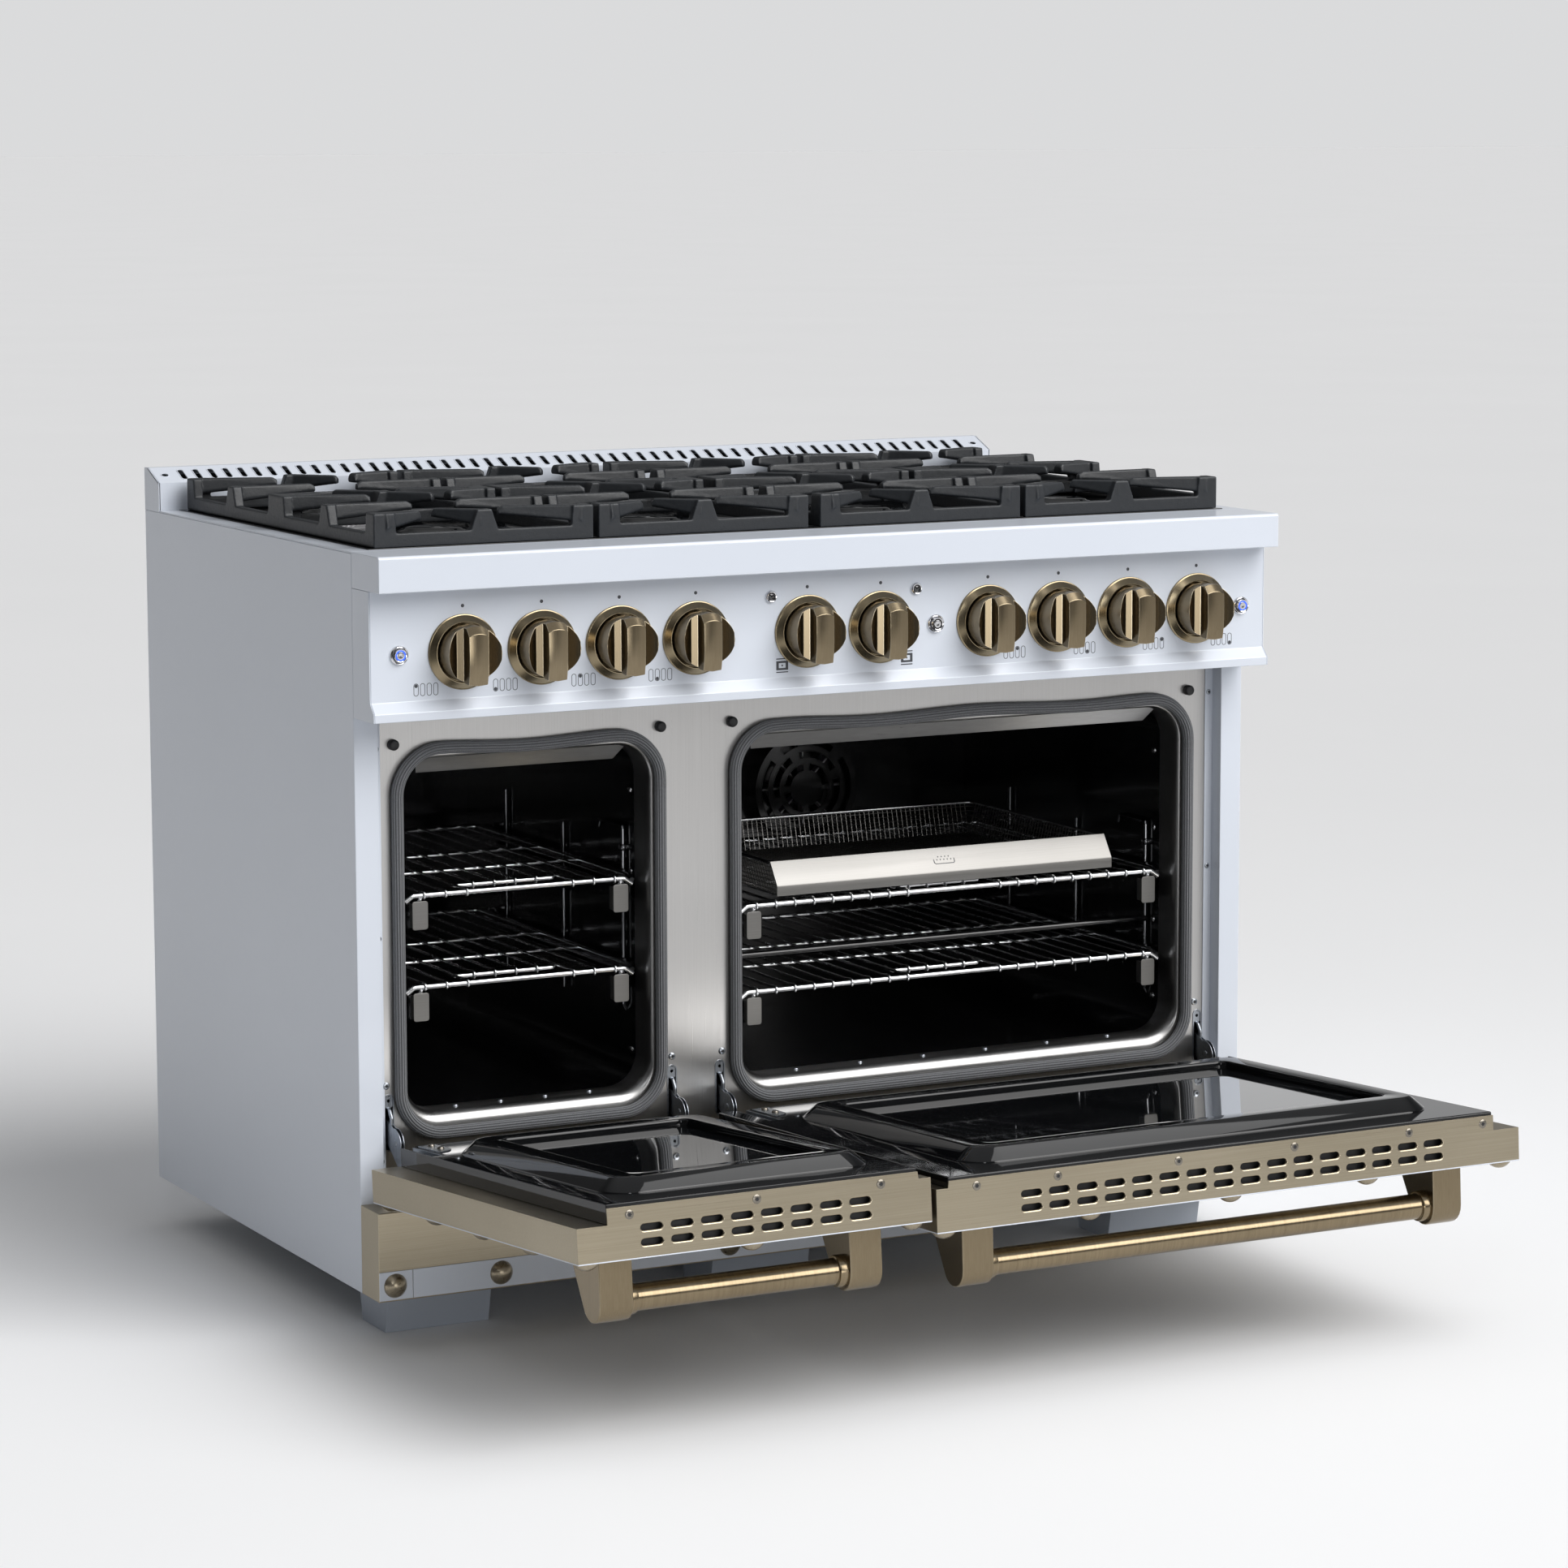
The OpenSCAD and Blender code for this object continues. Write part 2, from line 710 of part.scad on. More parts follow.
module door_skin(i) {
    x0 = door_x[i][0];
    x1 = door_x[i][1];
    p0 = panel_x[i][0];
    p1 = panel_x[i][1];
    top = door_z + door_h;
    n = [8, 16][i];
    pitch = 36;
    difference() {
        union() {
            block([x0, -door_t, door_z], [x1, -door_t + rim_t, top]);
            block([i == 0 ? p0 : x0, -door_t, top - sheet], [i == 0 ? x1 : p1, -door_t + band_t, top]);
        }
        block([x0 + sheet, -door_t + sheet, door_z + sheet], [x1 - sheet, -door_t + rim_t - sheet, top - sheet]);
        block([p0 + 8, -door_t + sheet, door_z + sheet + 8], [p1 - 8, 9, top - sheet - 8]);
        block([p0, -door_t + rim_t, door_z], [p1, 9, top - sheet]);
        for (k = [0:n - 1], y = [15, 31])
            translate([door_mid[i] + (k - (n - 1) / 2) * pitch, -door_t + y, top])
                cube([26, 8.5, 9], center = true);
        along_y(-door_t - 1, -door_t + 3) window_outline(i, outer_window);
        hinge_cuts(i);
    }
}

// how much smaller than the oven's opening the windows are, on each side
inner_window = 44;
outer_window = 50;

// window in door i, smaller than the oven's opening by g on every side
module window_outline(i, g) {
    round_rect(oven_x[i][0] + g, oven_x[i][1] - g, oven_z + g, oven_top - g, 12);
}

// outline of the raised part that enters the gasket, smaller by g on every side
module raised_outline(i, g) {
    round_rect(oven_x[i][0] + g, oven_x[i][1] - g, oven_z + g, oven_top - g, oven_r - 4 - g);
}

module door_inner(i) {
    x0 = panel_x[i][0];
    x1 = panel_x[i][1];
    z0 = door_z + sheet + gap;
    z1 = door_z + door_h - sheet - gap;
    bevel = 18;
    slab_t = 2.5;
    difference() {
        union() {
            block([x0, -door_t + rim_t, z0], [x1, 0, z1]);
            hull() {
                along_y(-1, 0) raised_outline(i, 0);
                along_y(-1, plateau_t) raised_outline(i, bevel);
            }
        }
        block([x0 + slab_t, -door_t, z0 + slab_t], [x1 - slab_t, -slab_t, z1 - slab_t]);
        along_y(-9, plateau_t + 1) window_outline(i, inner_window);
        hinge_cuts(i);
    }
}

module door_glass(i) {
    along_y(2, 6) window_outline(i, inner_window);
    along_y(-door_t, -door_t + 4) window_outline(i, outer_window + gap);
}

handle_z = door_z + 505;
handle_out = 54;
post_margin = [42, 54];
handle_post = 40;

module door_handle(i) {
    y0 = -door_t;
    x0 = door_x[i][0] + post_margin[i];
    x1 = door_x[i][1] - post_margin[i];
    bar = 15;
    collar = 18;
    for (x = [x0, x1 - handle_post]) along_x(x, x + handle_post) {
        polygon([
            [y0, handle_z + 23], [y0 - handle_out, handle_z + 23], [y0 - handle_out - 23, handle_z],
            [y0 - handle_out - 20, handle_z - 14], [y0, handle_z - 54]]);
        translate([y0 - handle_out, handle_z]) circle(23);
    }
    rod_x(x0 + handle_post, x1 - handle_post, y0 - handle_out, handle_z, bar);
    for (x = [x0 + handle_post, x1 - handle_post - 9])
        rod_x(x, x + 9, y0 - handle_out, handle_z, collar);
}

module door_strap(i) {
    x0 = door_x[i][0];
    x1 = door_x[i][1];
    top = door_z + door_h;
    difference() {
        block([x0, -door_t - strap_t, door_z], [x1, -door_t, top]);
        block([x0 + strap_w, -door_t - 9, door_z + strap_w], [x1 - strap_w, 0, top - strap_w]);
    }
}

module door_hardware(i) {
    face = -door_t - strap_t;
    top = door_z + door_h;
    edge = strap_w / 2;
    n = [3, 5][i];
    across = [door_x[i][0] + edge, door_x[i][1] - edge];
    screw_x = [[-152, 0, 152], [-340, -236, -78, 78, 236, 340]][i];
    for (k = [0:n - 1], z = [door_z + edge, top - edge])
        dome(across[0] + (across[1] - across[0]) * k / (n - 1), face, z, dome_r, dome_h);
    for (x = across, k = [1:3])
        dome(x, face, door_z + edge + (door_h - 2 * edge) * k / 4, dome_r, dome_h);
    for (x = screw_x) rod_z(door_mid[i] + x, -door_t + 46, top, top + 1, 4.5);
    for (x = hinge_x[i]) {
        for (s = [-1, 1])
            block([x + s * 6.5 - 1.2, -door_t + 1.6, door_z + 3], [x + s * 6.5 + 1.2, -1, door_z + 101]);
        block([x - 7.5, -door_t + 1.6, door_z + 70], [x + 7.5, -door_t + 4, door_z + 101]);
        rod_x(x - 7.6, x + 7.6, hinge_y, hinge_z, pin_r);
    }
}

module door_left_skin() { color(brass) lowered(0) door_skin(0); }

module door_left_inner() { color(black) lowered(0) door_inner(0); }

module door_left_glass() { color([0.2, 0.22, 0.24]) lowered(0) door_glass(0); }

module door_left_handle() { color(brass) lowered(0) door_handle(0); }

module door_left_strap() { color(white) lowered(0) door_strap(0); }

module door_left_hardware() { color(brass) lowered(0) door_hardware(0); }

module door_right_skin() { color(brass) lowered(1) door_skin(1); }

module door_right_inner() { color(black) lowered(1) door_inner(1); }

module door_right_glass() { color([0.2, 0.22, 0.24]) lowered(1) door_glass(1); }

module door_right_handle() { color(brass) lowered(1) door_handle(1); }

module door_right_strap() { color(white) lowered(1) door_strap(1); }

module door_right_hardware() { color(brass) lowered(1) door_hardware(1); }

// ---- pieces ----

side_panel_left();
side_panel_right();
back_panel();
base_pan();
front_frame();
cooktop_surround();
burner_pan();
front_fascia();
control_panel();
vent_trim();
kick_panel();
kick_trim();
legs();
oven_liner_left();
oven_liner_right();
oven_gaskets();
rack_ladders();
burner_heads();
burner_caps();
grate_1();
grate_2();
grate_3();
grate_4();
knob_bezels();
knob_burner_1();
knob_burner_2();
knob_burner_3();
knob_burner_4();
knob_oven_left();
knob_oven_right();
knob_burner_5();
knob_burner_6();
knob_burner_7();
knob_burner_8();
light_button_left();
light_button_right();
fan_button();
panel_lamps();
hinge_arms();
frame_fasteners();
fan_housing();
fan_blade();
gas_manifold();
door_left_skin();
door_left_inner();
door_left_glass();
door_left_handle();
door_left_strap();
door_left_hardware();
door_right_skin();
door_right_inner();
door_right_glass();
door_right_handle();
door_right_strap();
door_right_hardware();
rack_left_upper();
rack_left_lower();
rack_right_upper();
rack_right_lower();
air_fry_basket();
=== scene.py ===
"""Looks of the 48 inch gas range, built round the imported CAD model.

Shapes are drawn in millimetres in the cabinet's own space: x from the middle, y back from the front
posts, z up from the floor. CAB turns that into the frame's metres. Doors are drawn shut and lowered.
"""
import json
import math

import bmesh
import bpy
from mathutils import Matrix, Vector
from mathutils.geometry import tessellate_polygon


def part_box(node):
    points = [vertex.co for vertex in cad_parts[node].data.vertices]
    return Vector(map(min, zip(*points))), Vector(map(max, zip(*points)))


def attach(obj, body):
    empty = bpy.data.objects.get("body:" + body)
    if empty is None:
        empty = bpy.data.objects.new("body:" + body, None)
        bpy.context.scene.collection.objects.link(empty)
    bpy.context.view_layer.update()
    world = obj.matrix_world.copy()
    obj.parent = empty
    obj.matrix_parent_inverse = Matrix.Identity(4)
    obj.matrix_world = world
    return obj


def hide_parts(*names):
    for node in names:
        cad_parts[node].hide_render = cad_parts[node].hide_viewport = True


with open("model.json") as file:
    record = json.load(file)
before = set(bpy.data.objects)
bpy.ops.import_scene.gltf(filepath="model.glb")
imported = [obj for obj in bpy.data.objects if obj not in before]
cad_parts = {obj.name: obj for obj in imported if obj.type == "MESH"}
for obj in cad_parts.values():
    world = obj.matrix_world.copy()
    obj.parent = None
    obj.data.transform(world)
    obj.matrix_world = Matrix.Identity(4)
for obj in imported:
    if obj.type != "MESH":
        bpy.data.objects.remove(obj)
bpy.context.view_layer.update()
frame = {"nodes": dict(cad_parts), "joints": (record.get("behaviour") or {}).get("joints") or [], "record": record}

MM = 0.001
CAB = Matrix.Translation((0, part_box("side_panel_left")[0].y, 0)) @ Matrix.Scale(MM, 4)
TO_CAB = CAB.inverted()
JOINTS = {joint["name"]: joint for joint in frame["joints"]}
SIDES = ("left", "right")


def cab_box(node):
    """Lowest and highest corner of a CAD node in cabinet millimetres."""
    low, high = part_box(node)
    return TO_CAB @ low, TO_CAB @ high


def middle_x(node):
    """Middle of a CAD node across the range."""
    low, high = cab_box(node)
    return (low.x + high.x) / 2


# ---- driving sizes, the same as the CAD model's ----
HALF_W = -cab_box("side_panel_left")[0].x
SHEET = 2.0
RECESS = 22.0
PANEL_Y = -50.0
KNOB_Z = (cab_box("knob_burner_1")[0].z + cab_box("knob_burner_1")[1].z) / 2
KNOB_R = 33.5
KNOBS = [f"knob_burner_{i}" for i in range(1, 5)] + ["knob_oven_left", "knob_oven_right"]
KNOBS += [f"knob_burner_{i}" for i in range(5, 9)]
OVEN_X = [(-541.0, -215.0), (-99.0, 531.0)]
OVEN_Z = (246.0, 688.0)
OVEN_R = 46.0
DOOR_X = [(-HALF_W, -180.0), (-174.0, HALF_W)]
DOOR_Z = (169.0, 738.0)
DOOR_FACE = -60.0
RIM_T = 38.0
BAND_T = 56.0
PANEL_X = [(-HALF_W + 36, -184.0), (-170.0, HALF_W - 36)]
HINGE_X = [(-562.0, -191.0), (-126.0, 560.0)]
RACK_Z = [(518.0, 408.0), (470.0, 363.0)]
RACK_Y = (50.0, 520.0)
LAMP_Z = 861.0
RIVET_R, RIVET_H = 14.5, 9.0
LOUVRE = (14.6, 5.3)  # half a door slot, along and across


def hinge_line(side):
    """Where a door's hinge pins are, as (y, z)."""
    pivot = TO_CAB @ Vector(JOINTS[f"door_{side}_hinge"]["pos_m"])
    return pivot.y, pivot.z


def door_place(side):
    """Carries a door drawn shut to where it rests, lowered on its hinge."""
    joint = JOINTS[f"door_{side}_hinge"]
    pivot = Vector(joint["pos_m"])
    turn = Matrix.Rotation(math.radians(-joint["range_deg"][0]), 4, "X")
    return Matrix.Translation(pivot) @ turn @ Matrix.Translation(-pivot) @ CAB


# ---- materials ----
class Nodes:
    """A node tree and short ways to wire nodes into it."""

    def __init__(self, tree):
        self.tree = tree

    def node(self, kind, **settings):
        made = self.tree.nodes.new(kind)
        for key, value in settings.items():
            setattr(made, key, value)
        return made

    def put(self, socket, value):
        if isinstance(value, bpy.types.NodeSocket):
            self.tree.links.new(value, socket)
        elif isinstance(value, (tuple, list)) and len(value) == 3 and socket.type == "RGBA":
            socket.default_value = (*value, 1)
        else:
            socket.default_value = value

    def remap(self, value, low, high, to_low, to_high, smooth=False):
        made = self.node("ShaderNodeMapRange", interpolation_type="SMOOTHSTEP" if smooth else "LINEAR")
        for name, number in zip(("From Min", "From Max", "To Min", "To Max"), (low, high, to_low, to_high)):
            self.put(made.inputs[name], number)
        self.put(made.inputs["Value"], value)
        return made.outputs["Result"]

    def math(self, operation, a, b=0.0):
        made = self.node("ShaderNodeMath", operation=operation)
        self.put(made.inputs[0], a)
        self.put(made.inputs[1], b)
        return made.outputs[0]

    def mix(self, fac, a, b):
        made = self.node("ShaderNodeMix", data_type="RGBA")
        self.put(made.inputs["Factor"], fac)
        self.put(made.inputs[6], a)
        self.put(made.inputs[7], b)
        return made.outputs[2]


class Look(Nodes):
    """A principled material."""

    def __init__(self, name, **values):
        self.material = bpy.data.materials.new(name)
        self.material.use_nodes = True
        super().__init__(self.material.node_tree)
        self.shader = self.tree.nodes["Principled BSDF"]
        self.coords = self.node("ShaderNodeTexCoord").outputs["Object"]
        for key, value in values.items():
            self.set(key.replace("_", " ").title().replace("Ior", "IOR"), value)

    def set(self, name, value):
        self.put(self.shader.inputs[name], value)

    def noise(self, scale, stretch=(1, 1, 1), detail=3.0, roughness=0.55, coords=None):
        mapping = self.node("ShaderNodeMapping")
        self.put(mapping.inputs["Vector"], coords or self.coords)
        mapping.inputs["Scale"].default_value = [scale * s for s in stretch]
        made = self.node("ShaderNodeTexNoise")
        self.put(made.inputs["Vector"], mapping.outputs["Vector"])
        self.put(made.inputs["Scale"], 1.0)
        self.put(made.inputs["Detail"], detail)
        self.put(made.inputs["Roughness"], roughness)
        return made.outputs["Fac"]

    def cells(self, scale, feature="F1"):
        made = self.node("ShaderNodeTexVoronoi", feature=feature)
        self.put(made.inputs["Vector"], self.coords)
        self.put(made.inputs["Scale"], scale)
        return made

    def bump(self, height, strength, distance, normal=None):
        made = self.node("ShaderNodeBump")
        self.put(made.inputs["Height"], height)
        self.put(made.inputs["Strength"], strength)
        self.put(made.inputs["Distance"], distance)
        if normal:
            self.put(made.inputs["Normal"], normal)
        self.set("Normal", made.outputs["Normal"])
        return made.outputs["Normal"]

    def edge(self, radius):
        """How much the surface turns within a radius: 0 on a flat, towards 1 on an edge."""
        soft = self.node("ShaderNodeBevel", samples=4)
        self.put(soft.inputs["Radius"], radius)
        hard = self.node("ShaderNodeNewGeometry").outputs["Normal"]
        dot = self.node("ShaderNodeVectorMath", operation="DOT_PRODUCT")
        self.put(dot.inputs[0], soft.outputs["Normal"])
        self.put(dot.inputs[1], hard)
        return self.remap(dot.outputs["Value"], 1.0, 0.9, 0.0, 1.0)


def mottled(name, tones, grain, rough, rough_grain, bump=None, **values):
    """Paint, rubber, glass and the like: two tones mixed by a noise, an uneven roughness and a fine grain."""
    look = Look(name, **values)
    look.set("Base Color", look.mix(look.noise(grain), *tones))
    look.set("Roughness", look.remap(look.noise(rough_grain), 0.3, 0.7, *rough))
    if bump:
        look.bump(look.noise(bump[0]), *bump[1:])
    return look.material


def enamel_white():
    look = Look("enamel_white", coat_weight=0.35, coat_roughness=0.12, coat_ior=1.5)
    cloud = look.noise(3, detail=2)
    look.set("Base Color", look.mix(cloud, (0.59, 0.63, 0.70), (0.63, 0.67, 0.74)))
    look.set("Roughness", look.remap(look.noise(60), 0.3, 0.7, 0.285, 0.34))
    return look.material


def oven_enamel():
    look = Look("oven_enamel", coat_weight=0.25, coat_roughness=0.1)
    speck = look.remap(look.cells(900).outputs["Distance"], 0.10, 0.16, 1.0, 0.0)
    sparse = look.remap(look.noise(300, detail=0), 0.58, 0.64, 0.0, 1.0)
    fleck = look.math("MULTIPLY", speck, sparse)
    look.set("Base Color", look.mix(fleck, (0.0025, 0.0025, 0.0028), (0.05, 0.05, 0.055)))
    look.set("Roughness", look.remap(look.noise(30), 0.3, 0.7, 0.12, 0.2))
    look.bump(look.noise(150, detail=1), 0.015, 0.0002)
    return look.material


def brushed(name, light, dark, rough, stretch, anisotropy=0.5, depth=0.12, patches=4.0, coords=None):
    """Metal with fine brush lines: stretch is small along the lines."""
    look = Look(name, metallic=1.0, anisotropic=anisotropy)
    lines = look.noise(1.0, stretch, detail=4, roughness=0.7, coords=coords)
    patch = look.noise(patches, detail=2)
    tone = look.math("ADD", look.math("MULTIPLY", lines, 0.6), look.math("MULTIPLY", patch, 0.4))
    look.set("Base Color", look.mix(look.remap(tone, 0.3, 0.7, 0.0, 1.0), dark, light))
    look.set("Roughness", look.remap(lines, 0.25, 0.75, rough[0], rough[1]))
    look.bump(lines, depth, 0.00006)
    return look


def brass_turned():
    light, dark = (0.26, 0.21, 0.138), (0.19, 0.15, 0.094)
    look = brushed("brass_turned", light, dark, (0.19, 0.25), (600, 600, 6), 0.4, 0.05)
    tone = look.shader.inputs["Base Color"].links[0].from_socket
    # Lighter towards every edge: a painted highlight along the edges.
    look.set("Base Color", look.mix(look.edge(0.0011), tone, (0.66, 0.58, 0.43)))
    return look.material


def brass_ring():
    """Turned round its own middle, so the brush lines are circles."""
    look = Look("brass_ring", metallic=1.0, anisotropic=0.65)
    middle = look.node("ShaderNodeVectorMath", operation="SUBTRACT")
    look.put(middle.inputs[0], look.node("ShaderNodeTexCoord").outputs["Generated"])
    middle.inputs[1].default_value = (0.5, 0.5, 0.5)
    flat = look.node("ShaderNodeVectorMath", operation="MULTIPLY")
    look.put(flat.inputs[0], middle.outputs[0])
    flat.inputs[1].default_value = (1, 0, 1)
    radius = look.node("ShaderNodeVectorMath", operation="LENGTH")
    look.put(radius.inputs[0], flat.outputs[0])
    line = look.node("ShaderNodeCombineXYZ")
    look.put(line.inputs[0], radius.outputs["Value"])
    rings = look.noise(160, detail=4, coords=line.outputs[0])
    look.set("Base Color", look.mix(rings, (0.23, 0.185, 0.115), (0.37, 0.305, 0.20)))
    look.set("Roughness", look.remap(rings, 0.3, 0.7, 0.19, 0.27))
    look.bump(rings, 0.03, 0.00005)
    tangent = look.node("ShaderNodeTangent", direction_type="RADIAL", axis="Y")
    look.set("Tangent", tangent.outputs[0])
    return look.material


def brass_dome():
    """Rivet heads: plain plated domes, a little scuffed."""
    look = Look("brass_dome", metallic=1.0)
    scuff = look.noise(220, detail=4)
    look.set("Base Color", look.mix(scuff, (0.29, 0.245, 0.175), (0.41, 0.355, 0.265)))
    look.set("Roughness", look.remap(scuff, 0.3, 0.7, 0.24, 0.38))
    look.bump(scuff, 0.08, 0.0002)
    return look.material


def cast_iron():
    look = Look("cast_iron", specular_ior_level=0.45)
    grit = look.noise(700, detail=6, roughness=0.65)
    lumps = look.noise(150, detail=2)
    # Lighter on sharp edges, where the pointiness is high: partly edge wear, partly a painted highlight.
    bright = look.node("ShaderNodeNewGeometry").outputs["Pointiness"]
    wear_and_highlight = look.math("MULTIPLY", look.remap(bright, 0.515, 0.56, 0.0, 1.0), look.remap(grit, 0.4, 0.6, 0.2, 1.0))
    base = look.mix(lumps, (0.011, 0.013, 0.0155), (0.019, 0.0215, 0.025))
    look.set("Base Color", look.mix(wear_and_highlight, base, (0.05, 0.055, 0.062)))
    look.set("Roughness", look.remap(grit, 0.3, 0.7, 0.36, 0.55))
    height = look.math("ADD", look.math("MULTIPLY", lumps, 1.5), grit)
    look.bump(height, 0.4, 0.00045)
    return look.material


def chrome(name, tint, rough):
    look = Look(name, metallic=1.0)
    smear = look.noise(45, detail=3)
    look.set("Base Color", look.mix(smear, tint, [c * 0.86 for c in tint]))
    look.set("Roughness", look.remap(smear, 0.3, 0.7, rough, rough + 0.1))
    look.bump(look.noise(500), 0.05, 0.0002)
    return look.material


def burner_alloy():
    look = Look("burner_alloy", metallic=1.0)
    cast = look.noise(500, detail=5)
    look.set("Base Color", look.mix(cast, (0.36, 0.36, 0.37), (0.55, 0.55, 0.56)))
    look.set("Roughness", look.remap(cast, 0.3, 0.7, 0.38, 0.55))
    look.bump(cast, 0.3, 0.0003)
    return look.material


def gasket_braid():
    """Glass-fibre rope: ribs along the sweep, each one knitted in short slanted stitches."""
    look = Look("gasket_braid", sheen_weight=0.3, sheen_roughness=0.5)
    uv = look.node("ShaderNodeSeparateXYZ")
    look.put(uv.inputs[0], look.node("ShaderNodeUVMap", uv_map="run").outputs[0])
    along, around = uv.outputs[0], look.math("MULTIPLY", uv.outputs[1], 14.0)
    rib = look.math("ABSOLUTE", look.math("SINE", look.math("MULTIPLY", around, math.pi)))
    slant = look.math("ADD", look.math("MULTIPLY", along, 0.62), look.math("MULTIPLY", around, 0.7))
    stitch = look.math("ABSOLUTE", look.math("SINE", look.math("MULTIPLY", slant, math.pi)))
    fibre = look.noise(900, (1, 1, 1), detail=4)
    # The colour follows the weave down to near black in the grooves between ribs and stitches: painted shade in the
    # grooves, over the same pattern as the bump.
    weave = look.math("MULTIPLY", look.remap(rib, 0.0, 0.75, 0.0, 1.0), look.remap(stitch, 0.0, 0.6, 0.45, 1.0))
    tone = look.math("MULTIPLY", weave, look.remap(fibre, 0.3, 0.7, 0.65, 1.1))
    look.set("Base Color", look.mix(tone, (0.018, 0.019, 0.021), (0.17, 0.177, 0.19)))
    look.set("Roughness", 0.75)
    look.bump(weave, 0.9, 0.0009, look.bump(fibre, 0.4, 0.0004))
    return look.material


def galvanised():
    look = Look("galvanised", metallic=1.0)
    spangle = look.cells(70).outputs["Color"]
    tone = look.node("ShaderNodeSeparateColor")
    look.put(tone.inputs[0], spangle)
    look.set("Base Color", look.mix(tone.outputs[0], (0.42, 0.44, 0.46), (0.62, 0.64, 0.66)))
    look.set("Roughness", look.remap(tone.outputs[1], 0, 1, 0.32, 0.5))
    look.bump(look.noise(300), 0.08, 0.0003)
    return look.material


def lamp_ring():
    look = Look("lamp_ring", emission_strength=0.7)
    glow = look.mix(look.noise(250), (0.03, 0.10, 0.9), (0.05, 0.15, 1.0))
    look.set("Base Color", glow)
    look.set("Emission Color", glow)
    look.set("Roughness", 0.3)
    return look.material


LOOKS = {
    "enamel_white": enamel_white(),
    "enamel_black": mottled("enamel_black", ((0.0025, 0.0027, 0.0031), (0.0055, 0.006, 0.0068)), 40,
                            (0.035, 0.06), 25, specular_ior_level=0.4),
    "oven_enamel": oven_enamel(),
    "frame_steel": brushed("frame_steel", (0.61, 0.602, 0.592), (0.52, 0.512, 0.503), (0.26, 0.36),
                           (1400, 1400, 5), 0.45, 0.08).material,
    "brass_sheet": brushed("brass_sheet", (0.44, 0.385, 0.29), (0.33, 0.285, 0.205), (0.26, 0.36),
                           (6, 900, 900), 0.5).material,
    "brass_turned": brass_turned(),
    "brass_ring": brass_ring(),
    "brass_dome": brass_dome(),
    "brass_bar": brushed("brass_bar", (0.30, 0.24, 0.155), (0.19, 0.148, 0.092), (0.19, 0.27),
                         (420, 9, 9), 0.5).material,
    "ceramic": mottled("ceramic", ((0.62, 0.60, 0.56), (0.74, 0.72, 0.69)), 400, (0.3, 0.45), 300),
    "cast_iron": cast_iron(),
    "chrome_wire": chrome("chrome_wire", (0.80, 0.81, 0.83), 0.10),
    "chrome_trim": chrome("chrome_trim", (0.78, 0.78, 0.80), 0.08),
    # Chrome darkened for the ladder wires deep in the black ovens: painted shade.
    "chrome_rod_shaded": chrome("chrome_rod_shaded", (0.30, 0.305, 0.32), 0.05),
    "burner_alloy": burner_alloy(),
    "gasket_braid": gasket_braid(),
    "oven_glass": mottled("oven_glass", ((0.006, 0.0065, 0.0075), (0.010, 0.011, 0.0125)), 8, (0.02, 0.05), 12,
                          ior=1.52, coat_weight=1.0, coat_roughness=0.015),
    "zinc_steel": brushed("zinc_steel", (0.50, 0.53, 0.57), (0.30, 0.325, 0.36), (0.24, 0.38),
                          (300, 300, 60), 0.2).material,
    "mouth_steel": brushed("mouth_steel", (0.40, 0.398, 0.396), (0.33, 0.328, 0.326), (0.27, 0.34),
                           (40, 500, 40), 0.3, 0.01).material,
    "screw_steel": brushed("screw_steel", (0.30, 0.275, 0.235), (0.17, 0.155, 0.13), (0.25, 0.36),
                           (200, 200, 200), 0.1).material,
    "galvanised": galvanised(),
    "basket_steel": brushed("basket_steel", (0.26, 0.254, 0.243), (0.20, 0.195, 0.186), (0.34, 0.44),
                            (8, 900, 900), 0.5, 0.06).material,
    "leg_paint": mottled("leg_paint", ((0.36, 0.40, 0.46), (0.43, 0.47, 0.54)), 6, (0.36, 0.46), 80,
                         (500, 0.06, 0.0004), coat_weight=0.15, coat_roughness=0.25),
    # Black rubber for the plugs and the plain button ring. The same look is painted shade on the screw sockets and on
    # the dark sheets behind the slots.
    "rubber_and_shade": mottled("plug_and_shade_black", ((0.006, 0.006, 0.007), (0.014, 0.014, 0.016)), 300, (0.4, 0.55), 200,
                      (900, 0.15, 0.0003)),
    "ink": mottled("panel_ink", ((0.03, 0.032, 0.04), (0.055, 0.058, 0.068)), 800, (0.4, 0.5), 400),
    "lamp_ring": lamp_ring(),
}


# ---- shapes ----
AXES = {
    "x": lambda p, t: Vector((t, p[0], p[1])),
    "y": lambda p, t: Vector((p[0], t, p[1])),
    "z": lambda p, t: Vector((p[0], p[1], t)),
}


def arc(cx, cy, r, start, end, steps):
    """Points on an arc, angles in degrees."""
    turns = [math.radians(start + (end - start) * k / steps) for k in range(steps + 1)]
    return [(cx + r * math.cos(a), cy + r * math.sin(a)) for a in turns]


def round_rect(x0, x1, y0, y1, r, steps=6):
    """Rectangle with its corners turned at radius r, anticlockwise."""
    loop = []
    for cx, cy, start in ((x1 - r, y1 - r, 0), (x0 + r, y1 - r, 90), (x0 + r, y0 + r, 180), (x1 - r, y0 + r, 270)):
        loop += arc(cx, cy, r, start, start + 90, steps)
    return loop


def circle(cx, cy, r, sides=24):
    """Corners of a regular polygon, anticlockwise."""
    return arc(cx, cy, r, 0, 360, sides)[:-1]


def oven_outline(i, grow, steps=10):
    """Rounded mouth of oven i, made larger by grow on every side."""
    (x0, x1), (z0, z1) = OVEN_X[i], OVEN_Z
    return round_rect(x0 - grow, x1 + grow, z0 - grow, z1 + grow, OVEN_R + grow, steps)


